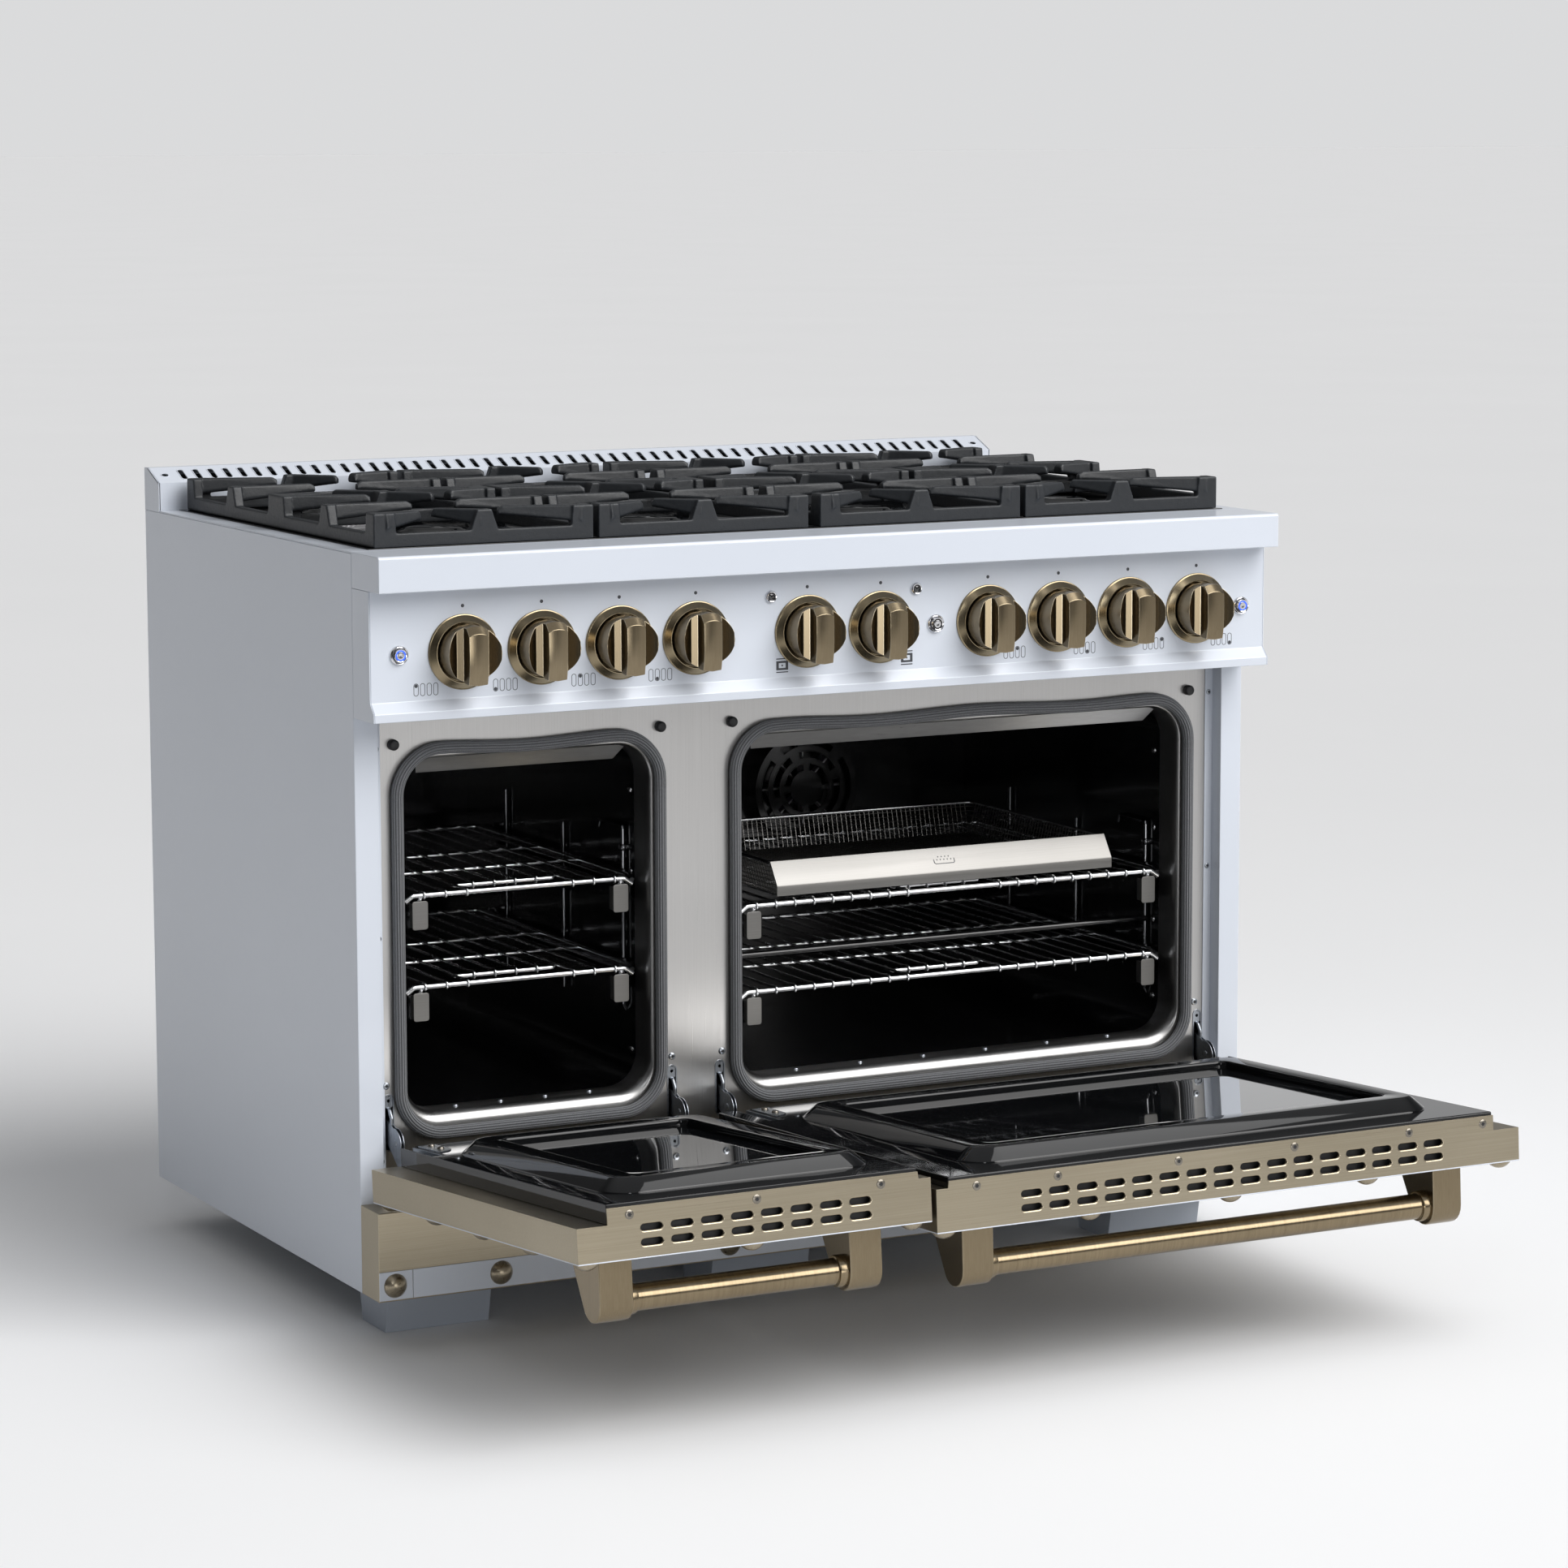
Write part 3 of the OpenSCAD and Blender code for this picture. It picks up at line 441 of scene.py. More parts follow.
def rounded(path, r, steps=5):
    """A path of straight runs with its corners turned at radius r."""
    points = [Vector(p) for p in path]
    out = [points[0]]
    for a, b, c in zip(points, points[1:], points[2:]):
        before, after = (a - b).normalized(), (c - b).normalized()
        half = before.angle(after, math.pi) / 2
        if half > math.pi / 2 - 0.02:
            out.append(b)
            continue
        cut = min(r / math.tan(half), (a - b).length * 0.49, (c - b).length * 0.49)
        start, end = b + before * cut, b + after * cut
        for k in range(steps + 1):
            t = k / steps
            out.append(start * (1 - t) ** 2 + b * 2 * t * (1 - t) + end * t ** 2)
    return out + [points[-1]]


class Shape:
    """Points and faces in millimetres, made into one piece by build()."""

    def __init__(self):
        self.points = []
        self.faces = []
        self.runs = {}

    def add(self, points, faces):
        start = len(self.points)
        self.points += [Vector(p) for p in points]
        self.faces += [[start + i for i in face] for face in faces]
        return self

    def skin(self, rings, loop=False):
        """Joins rings of equal length; open ends are capped."""
        n, count = len(rings[0]), len(rings)
        faces = []
        for r in range(count if loop else count - 1):
            a, b = r * n, (r + 1) % count * n
            faces += [[a + i, a + (i + 1) % n, b + (i + 1) % n, b + i] for i in range(n)]
        if not loop:
            faces += [list(range(n))[::-1], [(count - 1) * n + i for i in range(n)]]
        return self.add([p for ring in rings for p in ring], faces)

    def prism(self, outline, axis, a, b):
        return self.skin([[AXES[axis](p, t) for p in outline] for t in (a, b)])

    def box(self, low, high):
        outline = [(low[1], low[2]), (high[1], low[2]), (high[1], high[2]), (low[1], high[2])]
        return self.prism(outline, "x", low[0], high[0])

    def plate(self, loops, axis, a, b):
        """Flat plate whose first loop is its outline and whose others are holes."""
        flat = [p for loop in loops for p in loop]
        n = len(flat)
        fill = tessellate_polygon([[Vector((*p, 0)) for p in loop] for loop in loops])
        faces = [list(f) for f in fill] + [[i + n for i in reversed(f)] for f in fill]
        start = 0
        for loop in loops:
            m = len(loop)
            for i in range(m):
                j = (i + 1) % m
                faces.append([start + i, start + j, n + start + j, n + start + i])
            start += m
        return self.add([AXES[axis](p, t) for t in (a, b) for p in flat], faces)

    def lathe(self, profile, centre, axis="y", sides=48):
        """Turns (radius, height) points about an axis. A profile that starts off the axis closes on itself."""
        points, rings = [], []
        for r, h in profile:
            spots = [(0.0, 0.0)] if r < 1e-6 else circle(0, 0, r, sides)
            rings.append([len(points) + k for k in range(len(spots))])
            points += [Vector(centre) + AXES[axis](spot, h) for spot in spots]
        if profile[0][0] > 1e-6:
            rings.append(rings[0])
        faces = []
        for a, b in zip(rings, rings[1:]):
            for i in range(sides):
                j = (i + 1) % sides
                quad = [a[i % len(a)], a[j % len(a)], b[j % len(b)], b[i % len(b)]]
                faces.append(list(dict.fromkeys(quad)))
        return self.add(points, faces)

    def sweep(self, path, section, loop=False, up=(0, 0, 1)):
        """Carries a section of (side, up) points along a path and notes how far along each point is."""
        path = [Vector(p) for p in path]
        n, side, rings, along = len(path), None, [], 0.0
        start = len(self.points)
        for i, p in enumerate(path):
            before = path[i - 1] if (loop or i) else p
            after = path[(i + 1) % n] if (loop or i < n - 1) else p
            ahead = (after - before).normalized()
            side = ahead.cross(Vector(up)) if side is None else side
            side = (side - ahead * side.dot(ahead)).normalized()
            lift = side.cross(ahead)
            rings.append([p + side * s + lift * u for s, u in section])
            along += (p - path[i - 1]).length if i else 0.0
            for k in range(len(section)):
                self.runs[start + i * len(section) + k] = (along, k / len(section))
        return self.skin(rings, loop)

    def wire(self, path, r, sides=8, bend=0.0):
        if bend:
            path = rounded(path, bend)
        up = (0.3, 0.2, 1) if abs((Vector(path[1]) - Vector(path[0])).normalized().z) < 0.9 else (1, 0.2, 0)
        return self.sweep(path, circle(0, 0, r, sides), up=up)

    def dome(self, x, y, z, sides=28):
        """Rivet head standing out along -Y."""
        r, h = RIVET_R, RIVET_H
        ball = (r * r + h * h) / (2 * h)
        reach = math.asin(min(1.0, r / ball))
        profile = [(0.0, -h)]
        profile += [(ball * math.sin(reach * k / 7), ball - h - ball * math.cos(reach * k / 7)) for k in range(1, 8)]
        return self.lathe(profile + [(r, 0.4), (0.0, 0.4)], (x, y, z), "y", sides)

    def build(self, name, slot, body, *nodes, place=CAB, bevel=0.0, look=None, segments=2, smooth=38):
        mesh = bpy.data.meshes.new(name)
        mesh.from_pydata([place @ p for p in self.points], [], self.faces)
        if self.runs:
            layer = mesh.uv_layers.new(name="run")
            for item in mesh.loops:
                layer.data[item.index].uv = self.runs.get(item.vertex_index, (0, 0))
        face_outwards(mesh, merge_flats=bevel > 0)
        return finish(name, mesh, slot, body, nodes, bevel, look, segments, smooth)


def face_outwards(mesh, merge_flats=False):
    work = bmesh.new()
    work.from_mesh(mesh)
    bmesh.ops.recalc_face_normals(work, faces=work.faces)
    if merge_flats:
        bmesh.ops.dissolve_limit(work, angle_limit=math.radians(0.4), verts=work.verts, edges=work.edges)
    work.to_mesh(mesh)
    work.free()


def link(name, data):
    """Puts a new object into the scene."""
    made = bpy.data.objects.new(name, data)
    bpy.context.scene.collection.objects.link(made)
    return made


def finish(name, mesh, slot, body, nodes, bevel=0.0, look=None, segments=2, smooth=38):
    piece = link(name, mesh)
    mesh.shade_smooth()
    mesh.materials.append(LOOKS[look or slot])
    if bevel:
        soften(piece, bevel, segments, min(smooth, 32))
    else:
        mesh.set_sharp_from_angle(angle=math.radians(smooth))
    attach(piece, body)
    if nodes:
        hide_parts(*nodes)
    return piece


def soften(piece, width, segments=2, limit=32):
    """Rounds the edges that turn by more than limit degrees."""
    edge = piece.modifiers.new("edge", "BEVEL")
    edge.width = width * MM
    edge.segments = segments
    edge.limit_method = "ANGLE"
    edge.angle_limit = math.radians(limit)
    edge.harden_normals = True
    edge.miter_outer = "MITER_ARC"


def star_screw(shape, socket, centre, axis, out, r=4.5, h=1.8):
    """Pan head with a six-lobed socket; out is the side it faces along the axis."""
    profile = [(0.0, out * h), (r * 0.55, out * h), (r * 0.85, out * h * 0.8), (r, out * h * 0.3), (r, -out * 0.3)]
    shape.lathe(profile + [(0.0, -out * 0.3)], centre, axis, 20)
    lobes = []
    for k in range(36):
        a = math.radians(k * 10)
        reach = r * (0.42 + 0.09 * math.cos(6 * a))
        lobes.append((reach * math.cos(a), reach * math.sin(a)))
    # The socket is a thin lobed disc on the head, coloured dark by the caller: painted shade of the recess.
    ring = [[Vector(centre) + AXES[axis](p, t) for p in lobes] for t in (out * (h - 0.2), out * (h + 0.05))]
    socket.skin(ring)


# ---- cabinet ----
def cabinet():
    """Folded sheets that are drawn with the CAD model's own shapes."""
    for node in ("side_panel_left", "side_panel_right", "base_pan", "cooktop_surround",
                 "burner_pan", "front_fascia", "control_panel", "kick_panel", "legs", "gas_manifold", "fan_blade"):
        weld(node, 0.8)
    weld("front_fascia", 1.6)
    for node in ("oven_liner_left", "oven_liner_right"):
        weld(node, 0)


def weld(node, width):
    """Gives a CAD node its look, and rounds its edges by a width in millimetres."""
    piece = frame["nodes"][node]
    slot = next(s["material_slot"] for s in frame["record"]["subparts"] if s["node"] == node)
    piece.data.materials.clear()
    piece.data.materials.append(LOOKS[slot])
    piece.modifiers.clear()
    join = piece.modifiers.new("join", "WELD")
    join.merge_threshold = 0.00002
    flat = piece.modifiers.new("flat", "DECIMATE")
    flat.decimate_type, flat.angle_limit = "DISSOLVE", math.radians(0.5)
    if width:
        soften(piece, width)
        even = piece.modifiers.new("even", "WEIGHTED_NORMAL")
        even.weight = 100
        even.keep_sharp = True


def control_panel():
    """Folded panel whose lower lip flares out, closed by a cap at each end."""
    low, high = cab_box("control_panel")
    bottom, top, lip = low.z, high.z, low.y
    outer = [(0, bottom), (lip, bottom), (lip, bottom + 10), (PANEL_Y, bottom + 22), (PANEL_Y, top), (0, top)]
    inner = [(0, bottom + 2), (lip + 2, bottom + 2), (lip + 2, bottom + 9.2),
             (PANEL_Y + 2, bottom + 21.2), (PANEL_Y + 2, top)]
    panel = Shape()
    panel.prism(outer[:5] + inner[::-1], "x", -HALF_W + 1.6, HALF_W - 1.6)
    for a, b in ((-HALF_W, -HALF_W + 1.5), (HALF_W - 1.5, HALF_W)):
        panel.prism(outer, "x", a, b)
    panel.build("control_panel_sheet", "enamel_white", "root", "control_panel", bevel=0.9, segments=3, smooth=25)


def face_frame():
    """Stainless sheet round both oven mouths."""
    low, high = cab_box("front_frame")
    frame_sheet = Shape()
    outline = [(low.x, low.z), (high.x, low.z), (high.x, high.z), (low.x, high.z)]
    holes = [oven_outline(i, 0, 14)[::-1] for i in (0, 1)]
    for x in HINGE_X[0] + HINGE_X[1]:
        holes.append(round_rect(x - 5, x + 5, OVEN_Z[0] - 24, OVEN_Z[0] + 42, 4.9)[::-1])
    frame_sheet.plate([outline] + holes, "y", RECESS, RECESS + SHEET)
    frame_sheet.build("face_frame_sheet", "frame_steel", "root", "front_frame", bevel=0.3)


def back_panel():
    """Back sheet with an access cover, two fields of vent slots and a row of screws round its edge."""
    low, high = cab_box("back_panel")
    x1, y, z0, z1 = high.x, high.y, low.z, high.z
    inlet = circle(HALF_W - 38, KNOB_Z, 24.6, 40)
    panel, screws, sockets, dark = Shape(), Shape(), Shape(), Shape()
    holes = [inlet[::-1]]
    for side in (-1, 1):
        for row in range(2):
            for k in range(9):
                x, z = side * 420 + (k - 4) * 18, 620 + row * 90
                holes.append(round_rect(x - 3.5, x + 3.5, z - 32, z + 32, 3.4, 5)[::-1])
        # Black box behind each vent field: painted shade seen through the slots.
        dark.box((side * 420 - 84, y - 14, 580), (side * 420 + 84, y - 12, 750))
    panel.plate([[(-x1, z0), (x1, z0), (x1, z1), (-x1, z1)]] + holes, "y", y - 2, y - 0.9)
    panel.plate([round_rect(-230, 230, 190, 770, 8)], "y", y - 1.0, y - 0.35)
    spots = [(side * (x1 - 12), z0 + 20 + (z1 - z0 - 40) * k / 6) for side in (-1, 1) for k in range(7)]
    spots += [((k - 3) * 160, z) for k in range(1, 6) for z in (z0 + 14, z1 - 14)]
    for x, z in spots:
        star_screw(screws, sockets, (x, y - 0.9, z), "y", 1, 4.4, 0.8)
    for x in (-216, 0, 216):
        for z in (204, 756):
            star_screw(screws, sockets, (x, y - 0.6, z), "y", 1, 4.0, 0.5)
    panel.build("back_sheet", "enamel_white", "root", "back_panel", bevel=0.25)
    dark.build("back_vent_shade", "enamel_black", "root", look="rubber_and_shade")
    screws.build("back_screws", "zinc_steel", "root", smooth=40)
    sockets.build("back_screw_sockets", "zinc_steel", "root", look="rubber_and_shade")


def post_flanges():
    """Turned-in flanges behind the front posts, screwed to the face frame."""
    flange, sockets = Shape(), Shape()
    screws = Shape()
    for side in (-1, 1):
        inner, outer = side * (HALF_W - 41), side * (HALF_W - 29)
        flange.box((min(inner, outer), RECESS - 1.4, 64), (max(inner, outer), RECESS, 758))
        for z in (700, 476, 210):
            star_screw(screws, sockets, (side * (HALF_W - 36), RECESS - 1.4, z), "y", -1, 3.4, 1.2)
    flange.build("post_flanges", "enamel_white", "root", bevel=0.5)
    screws.build("post_screws", "zinc_steel", "root")
    sockets.build("post_screw_sockets", "enamel_black", "root", look="rubber_and_shade")


def vent_trim():
    """Sloped back trim with pressed slots and a round hole at each end."""
    low, high = cab_box("vent_trim")
    y0, y1, knee, run, wall = low.y, high.y, 969.0, 40.0, 2.0
    slope = math.atan2(high.z - knee, run)
    length = math.hypot(run, high.z - knee)
    count, pitch, across = 57, 20.3, length / 2
    trim = Shape()
    side = [(y0, low.z), (y0, knee), (y0 + run, high.z), (y1, high.z), (y1, low.z)]
    inner = [(y0 + wall, low.z), (y0 + wall, knee - 1), (y0 + run, high.z - wall),
             (y1 - wall, high.z - wall), (y1 - wall, low.z)]
    trim.prism(side, "x", -HALF_W, -HALF_W + wall).prism(side, "x", HALF_W - wall, HALF_W)
    for k in (0, 2, 3):
        trim.prism([side[k], side[k + 1], inner[k + 1], inner[k]], "x", -HALF_W + wall / 2, HALF_W - wall / 2)
    holes = []
    for k in range(count):
        x = (k - (count - 1) / 2) * pitch
        holes.append(round_rect(x - 4.2, x + 4.2, across - 14, across + 14, 4.1, 5)[::-1])
    ends = [circle(s * (HALF_W - 16), across, 5)[::-1] for s in (-1, 1)]
    outline = [(-HALF_W, 0.0), (HALF_W, 0.0), (HALF_W, length), (-HALF_W, length)]

    def lay(p, t):
        """Puts a point of the sloped face, t below it, into the cabinet."""
        return Vector((p[0], y0 + p[1] * math.cos(slope) + t * math.sin(slope),
                       knee + p[1] * math.sin(slope) - t * math.cos(slope)))

    AXES["slope"] = lay
    trim.plate([outline] + holes + ends, "slope", 0.0, 1.4)
    trim.build("vent_trim_body", "enamel_white", "root", "vent_trim", bevel=0.45)
    lips = Shape()
    for hole in holes + ends:
        path = [lay(p, 0.2) for p in hole]
        lips.sweep(path, circle(0, 0, 0.9, 6), loop=True, up=lay((0, 0), -1) - lay((0, 0), 0))
    lips.build("vent_slot_lips", "enamel_white", "root")
    # A black sheet under the slots: painted shade seen through them.
    dark = Shape()
    dark.plate([round_rect(-HALF_W + 8, HALF_W - 8, 4, length - 4, 3)], "slope", 9.0, 10.0)
    dark.build("vent_slot_shade", "enamel_black", "root", look="rubber_and_shade")


def kick_trim():
    """White strap along the kick panel, with a row of rivet heads."""
    y = cab_box("kick_panel")[0].y
    strap, brass = Shape(), Shape()
    tile, z0, z1 = 42.0, 62.0, 96.0
    for x0, x1 in ((-HALF_W + tile + 0.6, HALF_W - tile - 0.6), (-HALF_W, -HALF_W + tile), (HALF_W - tile, HALF_W)):
        strap.box((x0, y - 1.5, z0), (x1, y, z1))
    for x in [i * 151.0 for i in range(-3, 4)] + [-HALF_W + 20, HALF_W - 20]:
        brass.dome(x, y - 1.5, (z0 + z1) / 2)
    strap.build("kick_strap", "enamel_white", "root", "kick_trim", bevel=0.5)
    brass.build("kick_domes", "brass_turned", "root", "kick_trim", look="brass_dome")


# ---- cooktop ----
def finger(shape, start, end, w0, w1, top, z0, z1):
    """Cast finger from a post to its tip: flat on top, its underside rising, its edges drawn in."""
    a, b = Vector(start), Vector(end)
    across = Vector((-(b - a).y, (b - a).x)).normalized()
    rings = []
    for t in (0.0, 0.2, 0.94, 1.0):
        p, w = a.lerp(b, t), w0 + (w1 - w0) * t
        under = z0 + (z1 - z0) * min(1.0, t * 1.25)
        lift = top - (3.5 if t == 1.0 else 0.0)
        outline = [(-w / 2, under + 3), (-w / 2 + 2, under), (w / 2 - 2, under), (w / 2, under + 3),
                   (w / 2 - 2.2, lift), (-w / 2 + 2.2, lift)]
        rings.append([Vector((p.x + across.x * s, p.y + across.y * s, z)) for s, z in outline])
    shape.skin(rings)


def half_cell(hx, hy, height):
    """Posts and fingers round half a burner, with the burner at the middle."""
    cell, rail = Shape(), 12.0
    low = height - 20
    finger(cell, (-hx + 12, -hy + 9), (-hx + 66, -hy + 27), 26, 16, height, low, height - 12)
    finger(cell, (hx - 12, -hy + 8), (hx - 107, -hy + 40), 22, 11, height, low, height - 11)
    finger(cell, (0, -hy + 4), (-46, -hy + 50), 16, 10, height, low, height - 11)
    finger(cell, (-hx + 4, 0), (-hx + 112, 0), 16, 10, height, low, height - 11)
    for s in (-1, 1):
        x0, x1 = sorted((s * hx, s * (hx - 30)))
        cell.prism([(x0, 0), (x1, 0), (x1 - (4 if s < 0 else 0), height), (x0 + (4 if s > 0 else 0), height)],
                   "y", -hy, -hy + rail)
        x0, x1 = sorted((s * hx, s * (hx - rail)))
        cell.prism([(-hy, 0), (-hy + 30, 0), (-hy + 25, height), (-hy, height)], "x", x0, x1)
    cell.prism([(-22, 0), (22, 0), (17, 17), (9, height), (-9, height), (-17, 17)], "y", -hy, -hy + rail)
    cell.prism([(-22, 0), (22, 0), (17, 17), (9, height), (-9, height), (-17, 17)], "x", -hx, -hx + rail)
    return cell


def grates():
    """One casting, blended by a fine remesh, then set over each pair of burners."""
    low, high = cab_box("grate_1")
    hx, hy, height = (high.x - low.x) / 2, (high.y - low.y) / 4, high.z - low.z
    rail, rail_h = 12.0, 16.0
    casting = Shape()
    for s in (-1, 1):
        x0, x1 = sorted((s * hx, s * (hx - rail)))
        casting.box((x0, -2 * hy, 0), (x1, 2 * hy, rail_h))
        y0, y1 = sorted((s * 2 * hy, s * (2 * hy - rail)))
        casting.box((-hx, y0, 0), (hx, y1, rail_h))
    casting.box((-hx, -rail / 2, 0), (hx, rail / 2, rail_h))
    cell = half_cell(hx, hy, height)
    for y in (-hy, hy):
        for turn in (1, -1):
            points = [Vector((p.x * turn, p.y * turn + y, p.z)) for p in cell.points]
            casting.add(points, cell.faces)
    mesh = bpy.data.meshes.new("grate_casting")
    mesh.from_pydata([p * MM for p in casting.points], [], casting.faces)
    face_outwards(mesh)
    rough = link("grate_casting", mesh)
    blend = rough.modifiers.new("blend", "REMESH")
    blend.mode, blend.voxel_size = "VOXEL", 0.0013
    calm = rough.modifiers.new("calm", "SMOOTH")
    calm.factor, calm.iterations = 0.5, 5
    thin = rough.modifiers.new("thin", "DECIMATE")
    thin.ratio = 0.28
    solved = bpy.data.meshes.new_from_object(rough.evaluated_get(bpy.context.evaluated_depsgraph_get()))
    bpy.data.objects.remove(rough)
    solved.materials.clear()
    for k in range(1, 5):
        low, high = cab_box(f"grate_{k}")
        middle = CAB @ Vector(((low.x + high.x) / 2, (low.y + high.y) / 2, low.z))
        copy = solved.copy()
        copy.transform(Matrix.Translation(middle))
        finish(f"grate_casting_{k}", copy, "cast_iron", f"grate_{k}", (f"grate_{k}",), smooth=60)


def burners():
    """Machined heads with a ring of ports under enamelled caps, and an igniter beside each."""
    floor = cab_box("burner_caps")[1].z - 28
    front, back = cab_box("grate_1")[0].y, cab_box("grate_1")[1].y
    heads, caps, pins = Shape(), Shape(), Shape()
    for x in [middle_x(f"grate_{k}") for k in range(1, 5)]:
        for y in (front + (back - front) / 4, front + (back - front) * 3 / 4):
            heads.lathe([(0, -28), (26, -28), (27, 0.3), (49, 0.3), (50, 2), (50, 5), (47, 7), (41, 8), (0, 8)],
                        (x, y, floor), "z")
            crown = []
            for k in range(144):
                r = 39.5 if k % 4 < 2 else 36.5
                crown.append((x + r * math.cos(k * math.pi / 72), y + r * math.sin(k * math.pi / 72)))
            heads.prism(crown, "z", floor + 7, floor + 19.9)
            caps.lathe([(0, 20), (40, 20), (42, 21), (42, 23.2), (39, 25), (36, 25.4), (34, 27), (30, 28), (0, 28)],
                       (x, y, floor), "z", 64)
            pins.lathe([(0, 0.5), (3, 0.5), (3, 12), (1.2, 13), (1.0, 17.5), (0, 18)], (x + 46, y, floor), "z", 16)
    heads.build("burner_crowns", "burner_alloy", "root", "burner_heads", smooth=30)
    caps.build("burner_lids", "enamel_black", "root", "burner_caps", smooth=50)
    pins.build("igniters", "gasket_braid", "root", "burner_heads", look="ceramic")


# ---- controls ----
def bezels():
    """Turned ring round each knob, with a flat inside it for the stem."""
    for name in KNOBS:
        x = middle_x(name)
        ring = Shape()
        profile = [(44, 0), (44, 1.7), (43.7, 2.1), (42.6, 2.5), (42.2, 2.8), (36.4, 7.2), (36.0, 7.6), (35.4, 7.7),
                   (34.9, 7.3), (34.7, 6.6), (34.7, 0)]
        ring.lathe([(r, -h) for r, h in profile], (x, PANEL_Y, KNOB_Z), "y", 96)
        ring.lathe([(6, -0.4), (34.8, -0.4), (34.8, 0), (6, 0)], (x, PANEL_Y, KNOB_Z), "y", 48)
        ring.build(f"bezel_{name[5:]}", "brass_turned", "root", "knob_bezels", look="brass_ring", smooth=24)


def knobs():
    """Drum whose face is cut by a valley on each side of a proud grip bar."""
    for name in KNOBS:
        x, face = middle_x(name), cab_box(name)[0].y + 10
        knob = Shape()
        back = PANEL_Y - 3
        columns = [-33.49, -32.6, -30, -27.5, -25, -22.5, -20.5, -19.5, -18, -16, -14, -11.8]
        columns = columns + [-11, 0, 11] + [-c for c in reversed(columns)]
        rings = []
        for c in columns:
            reach = math.sqrt(KNOB_R ** 2 - c * c)
            away = max(0.0, abs(c) - 20.0) / 13.5
            drop = 10.5 * (1 - away ** 1.1) - max(0.0, 20.0 - abs(c)) * 0.35 if abs(c) > 11.5 else 4.0
            drop += 0.9 if abs(c) > 33 else 0.0
            near = face + drop
            rings.append([(x + c, near, KNOB_Z + reach * t) for t in (-1, -0.9, -0.5, 0, 0.5, 0.9, 1)]
                         + [(x + c, back, KNOB_Z + reach * t) for t in (1, 0.9, 0.5, 0, -0.5, -0.9, -1)])
        knob.skin(rings)
        bar = []
        for s in (-12.0, -9.0, -5.0, 0.0, 5.0, 9.0, 12.0):
            crown = 1.1 * (1 - (s / 12.0) ** 2)
            rim, brow = math.sqrt(33.3 ** 2 - s * s), math.sqrt(24.8 ** 2 - s * s)
            outline = [(face + 6, rim), (face - 0.4, rim), (face - 8.3 - crown, brow), (face - 8.8 - crown, 8),
                       (face - 8.8 - crown, -10), (face - 7.8 - crown, -24), (face - 5.8 - crown, -35.6 + abs(s) * 0.1),
                       (face + 5, -33.4), (face + 12, -30), (face + 12, 30)]
            bar.append([(x + s, y, KNOB_Z + z) for y, z in outline])
        knob.skin(bar)
        knob.build(f"{name}_grip", "brass_turned", name, name, bevel=0.5, segments=2, smooth=17)
        stem = Shape()
        stem.lathe([(0, -8), (4, -8), (4, back - 1), (0, back - 1)], (x, 0, KNOB_Z), "y", 24)
        stem.build(f"{name}_stem", "brass_turned", name, name)


def buttons():
    """Push buttons with a lit or plain ring, and the two oven lamps."""
    trims, lenses = Shape(), Shape()
    for name in ("light_button_left", "fan_button", "light_button_right"):
        x, y = middle_x(name), PANEL_Y
        cap, ring = Shape(), Shape()
        cap.lathe([(0, 8), (7.9, 8), (7.9, -5.2), (7.2, -5.9), (6.5, -5.7), (6.3, -5.0), (4.7, -5.0), (4.5, -5.7),
                   (4.2, -5.8), (1.5, -5.3), (0, -5.2)], (x, y, KNOB_Z), "y", 40)
        cap.build(f"{name}_cap", "chrome_trim", name, name, smooth=30)
        ring.lathe([(6.25, -5.35), (4.75, -5.35), (4.75, -4.9), (6.25, -4.9)], (x, y, KNOB_Z), "y", 40)
        lit = "light" in name
        ring.build(f"{name}_ring", "chrome_trim", name, name, look="lamp_ring" if lit else "rubber_and_shade")
        trims.lathe([(11.5, 0), (11.5, -1.2), (10.9, -2.4), (10.0, -3.0), (9.0, -2.6), (8.3, -1.8), (8.3, 0)],
                    (x, y, KNOB_Z), "y", 48)
    middle = (cab_box("knob_oven_left")[0].x + cab_box("knob_oven_right")[1].x) / 2
    for x in (middle - 99, middle + 99):
        trims.lathe([(7.5, 0), (7.5, -1.4), (6.9, -2.8), (6.1, -3.4), (5.3, -3.2), (4.8, -2.2), (4.8, 3)],
                    (x, PANEL_Y, LAMP_Z), "y", 40)
        lenses.lathe([(0, -3.0), (2, -2.8), (4, -2.2), (4.85, -1.2), (4.85, 3), (0, 3)], (x, PANEL_Y, LAMP_Z), "y", 32)
    trims.build("panel_trims", "chrome_trim", "root", "panel_lamps", smooth=45)
    lenses.build("panel_lenses", "chrome_trim", "root", "panel_lamps", look="oven_glass")


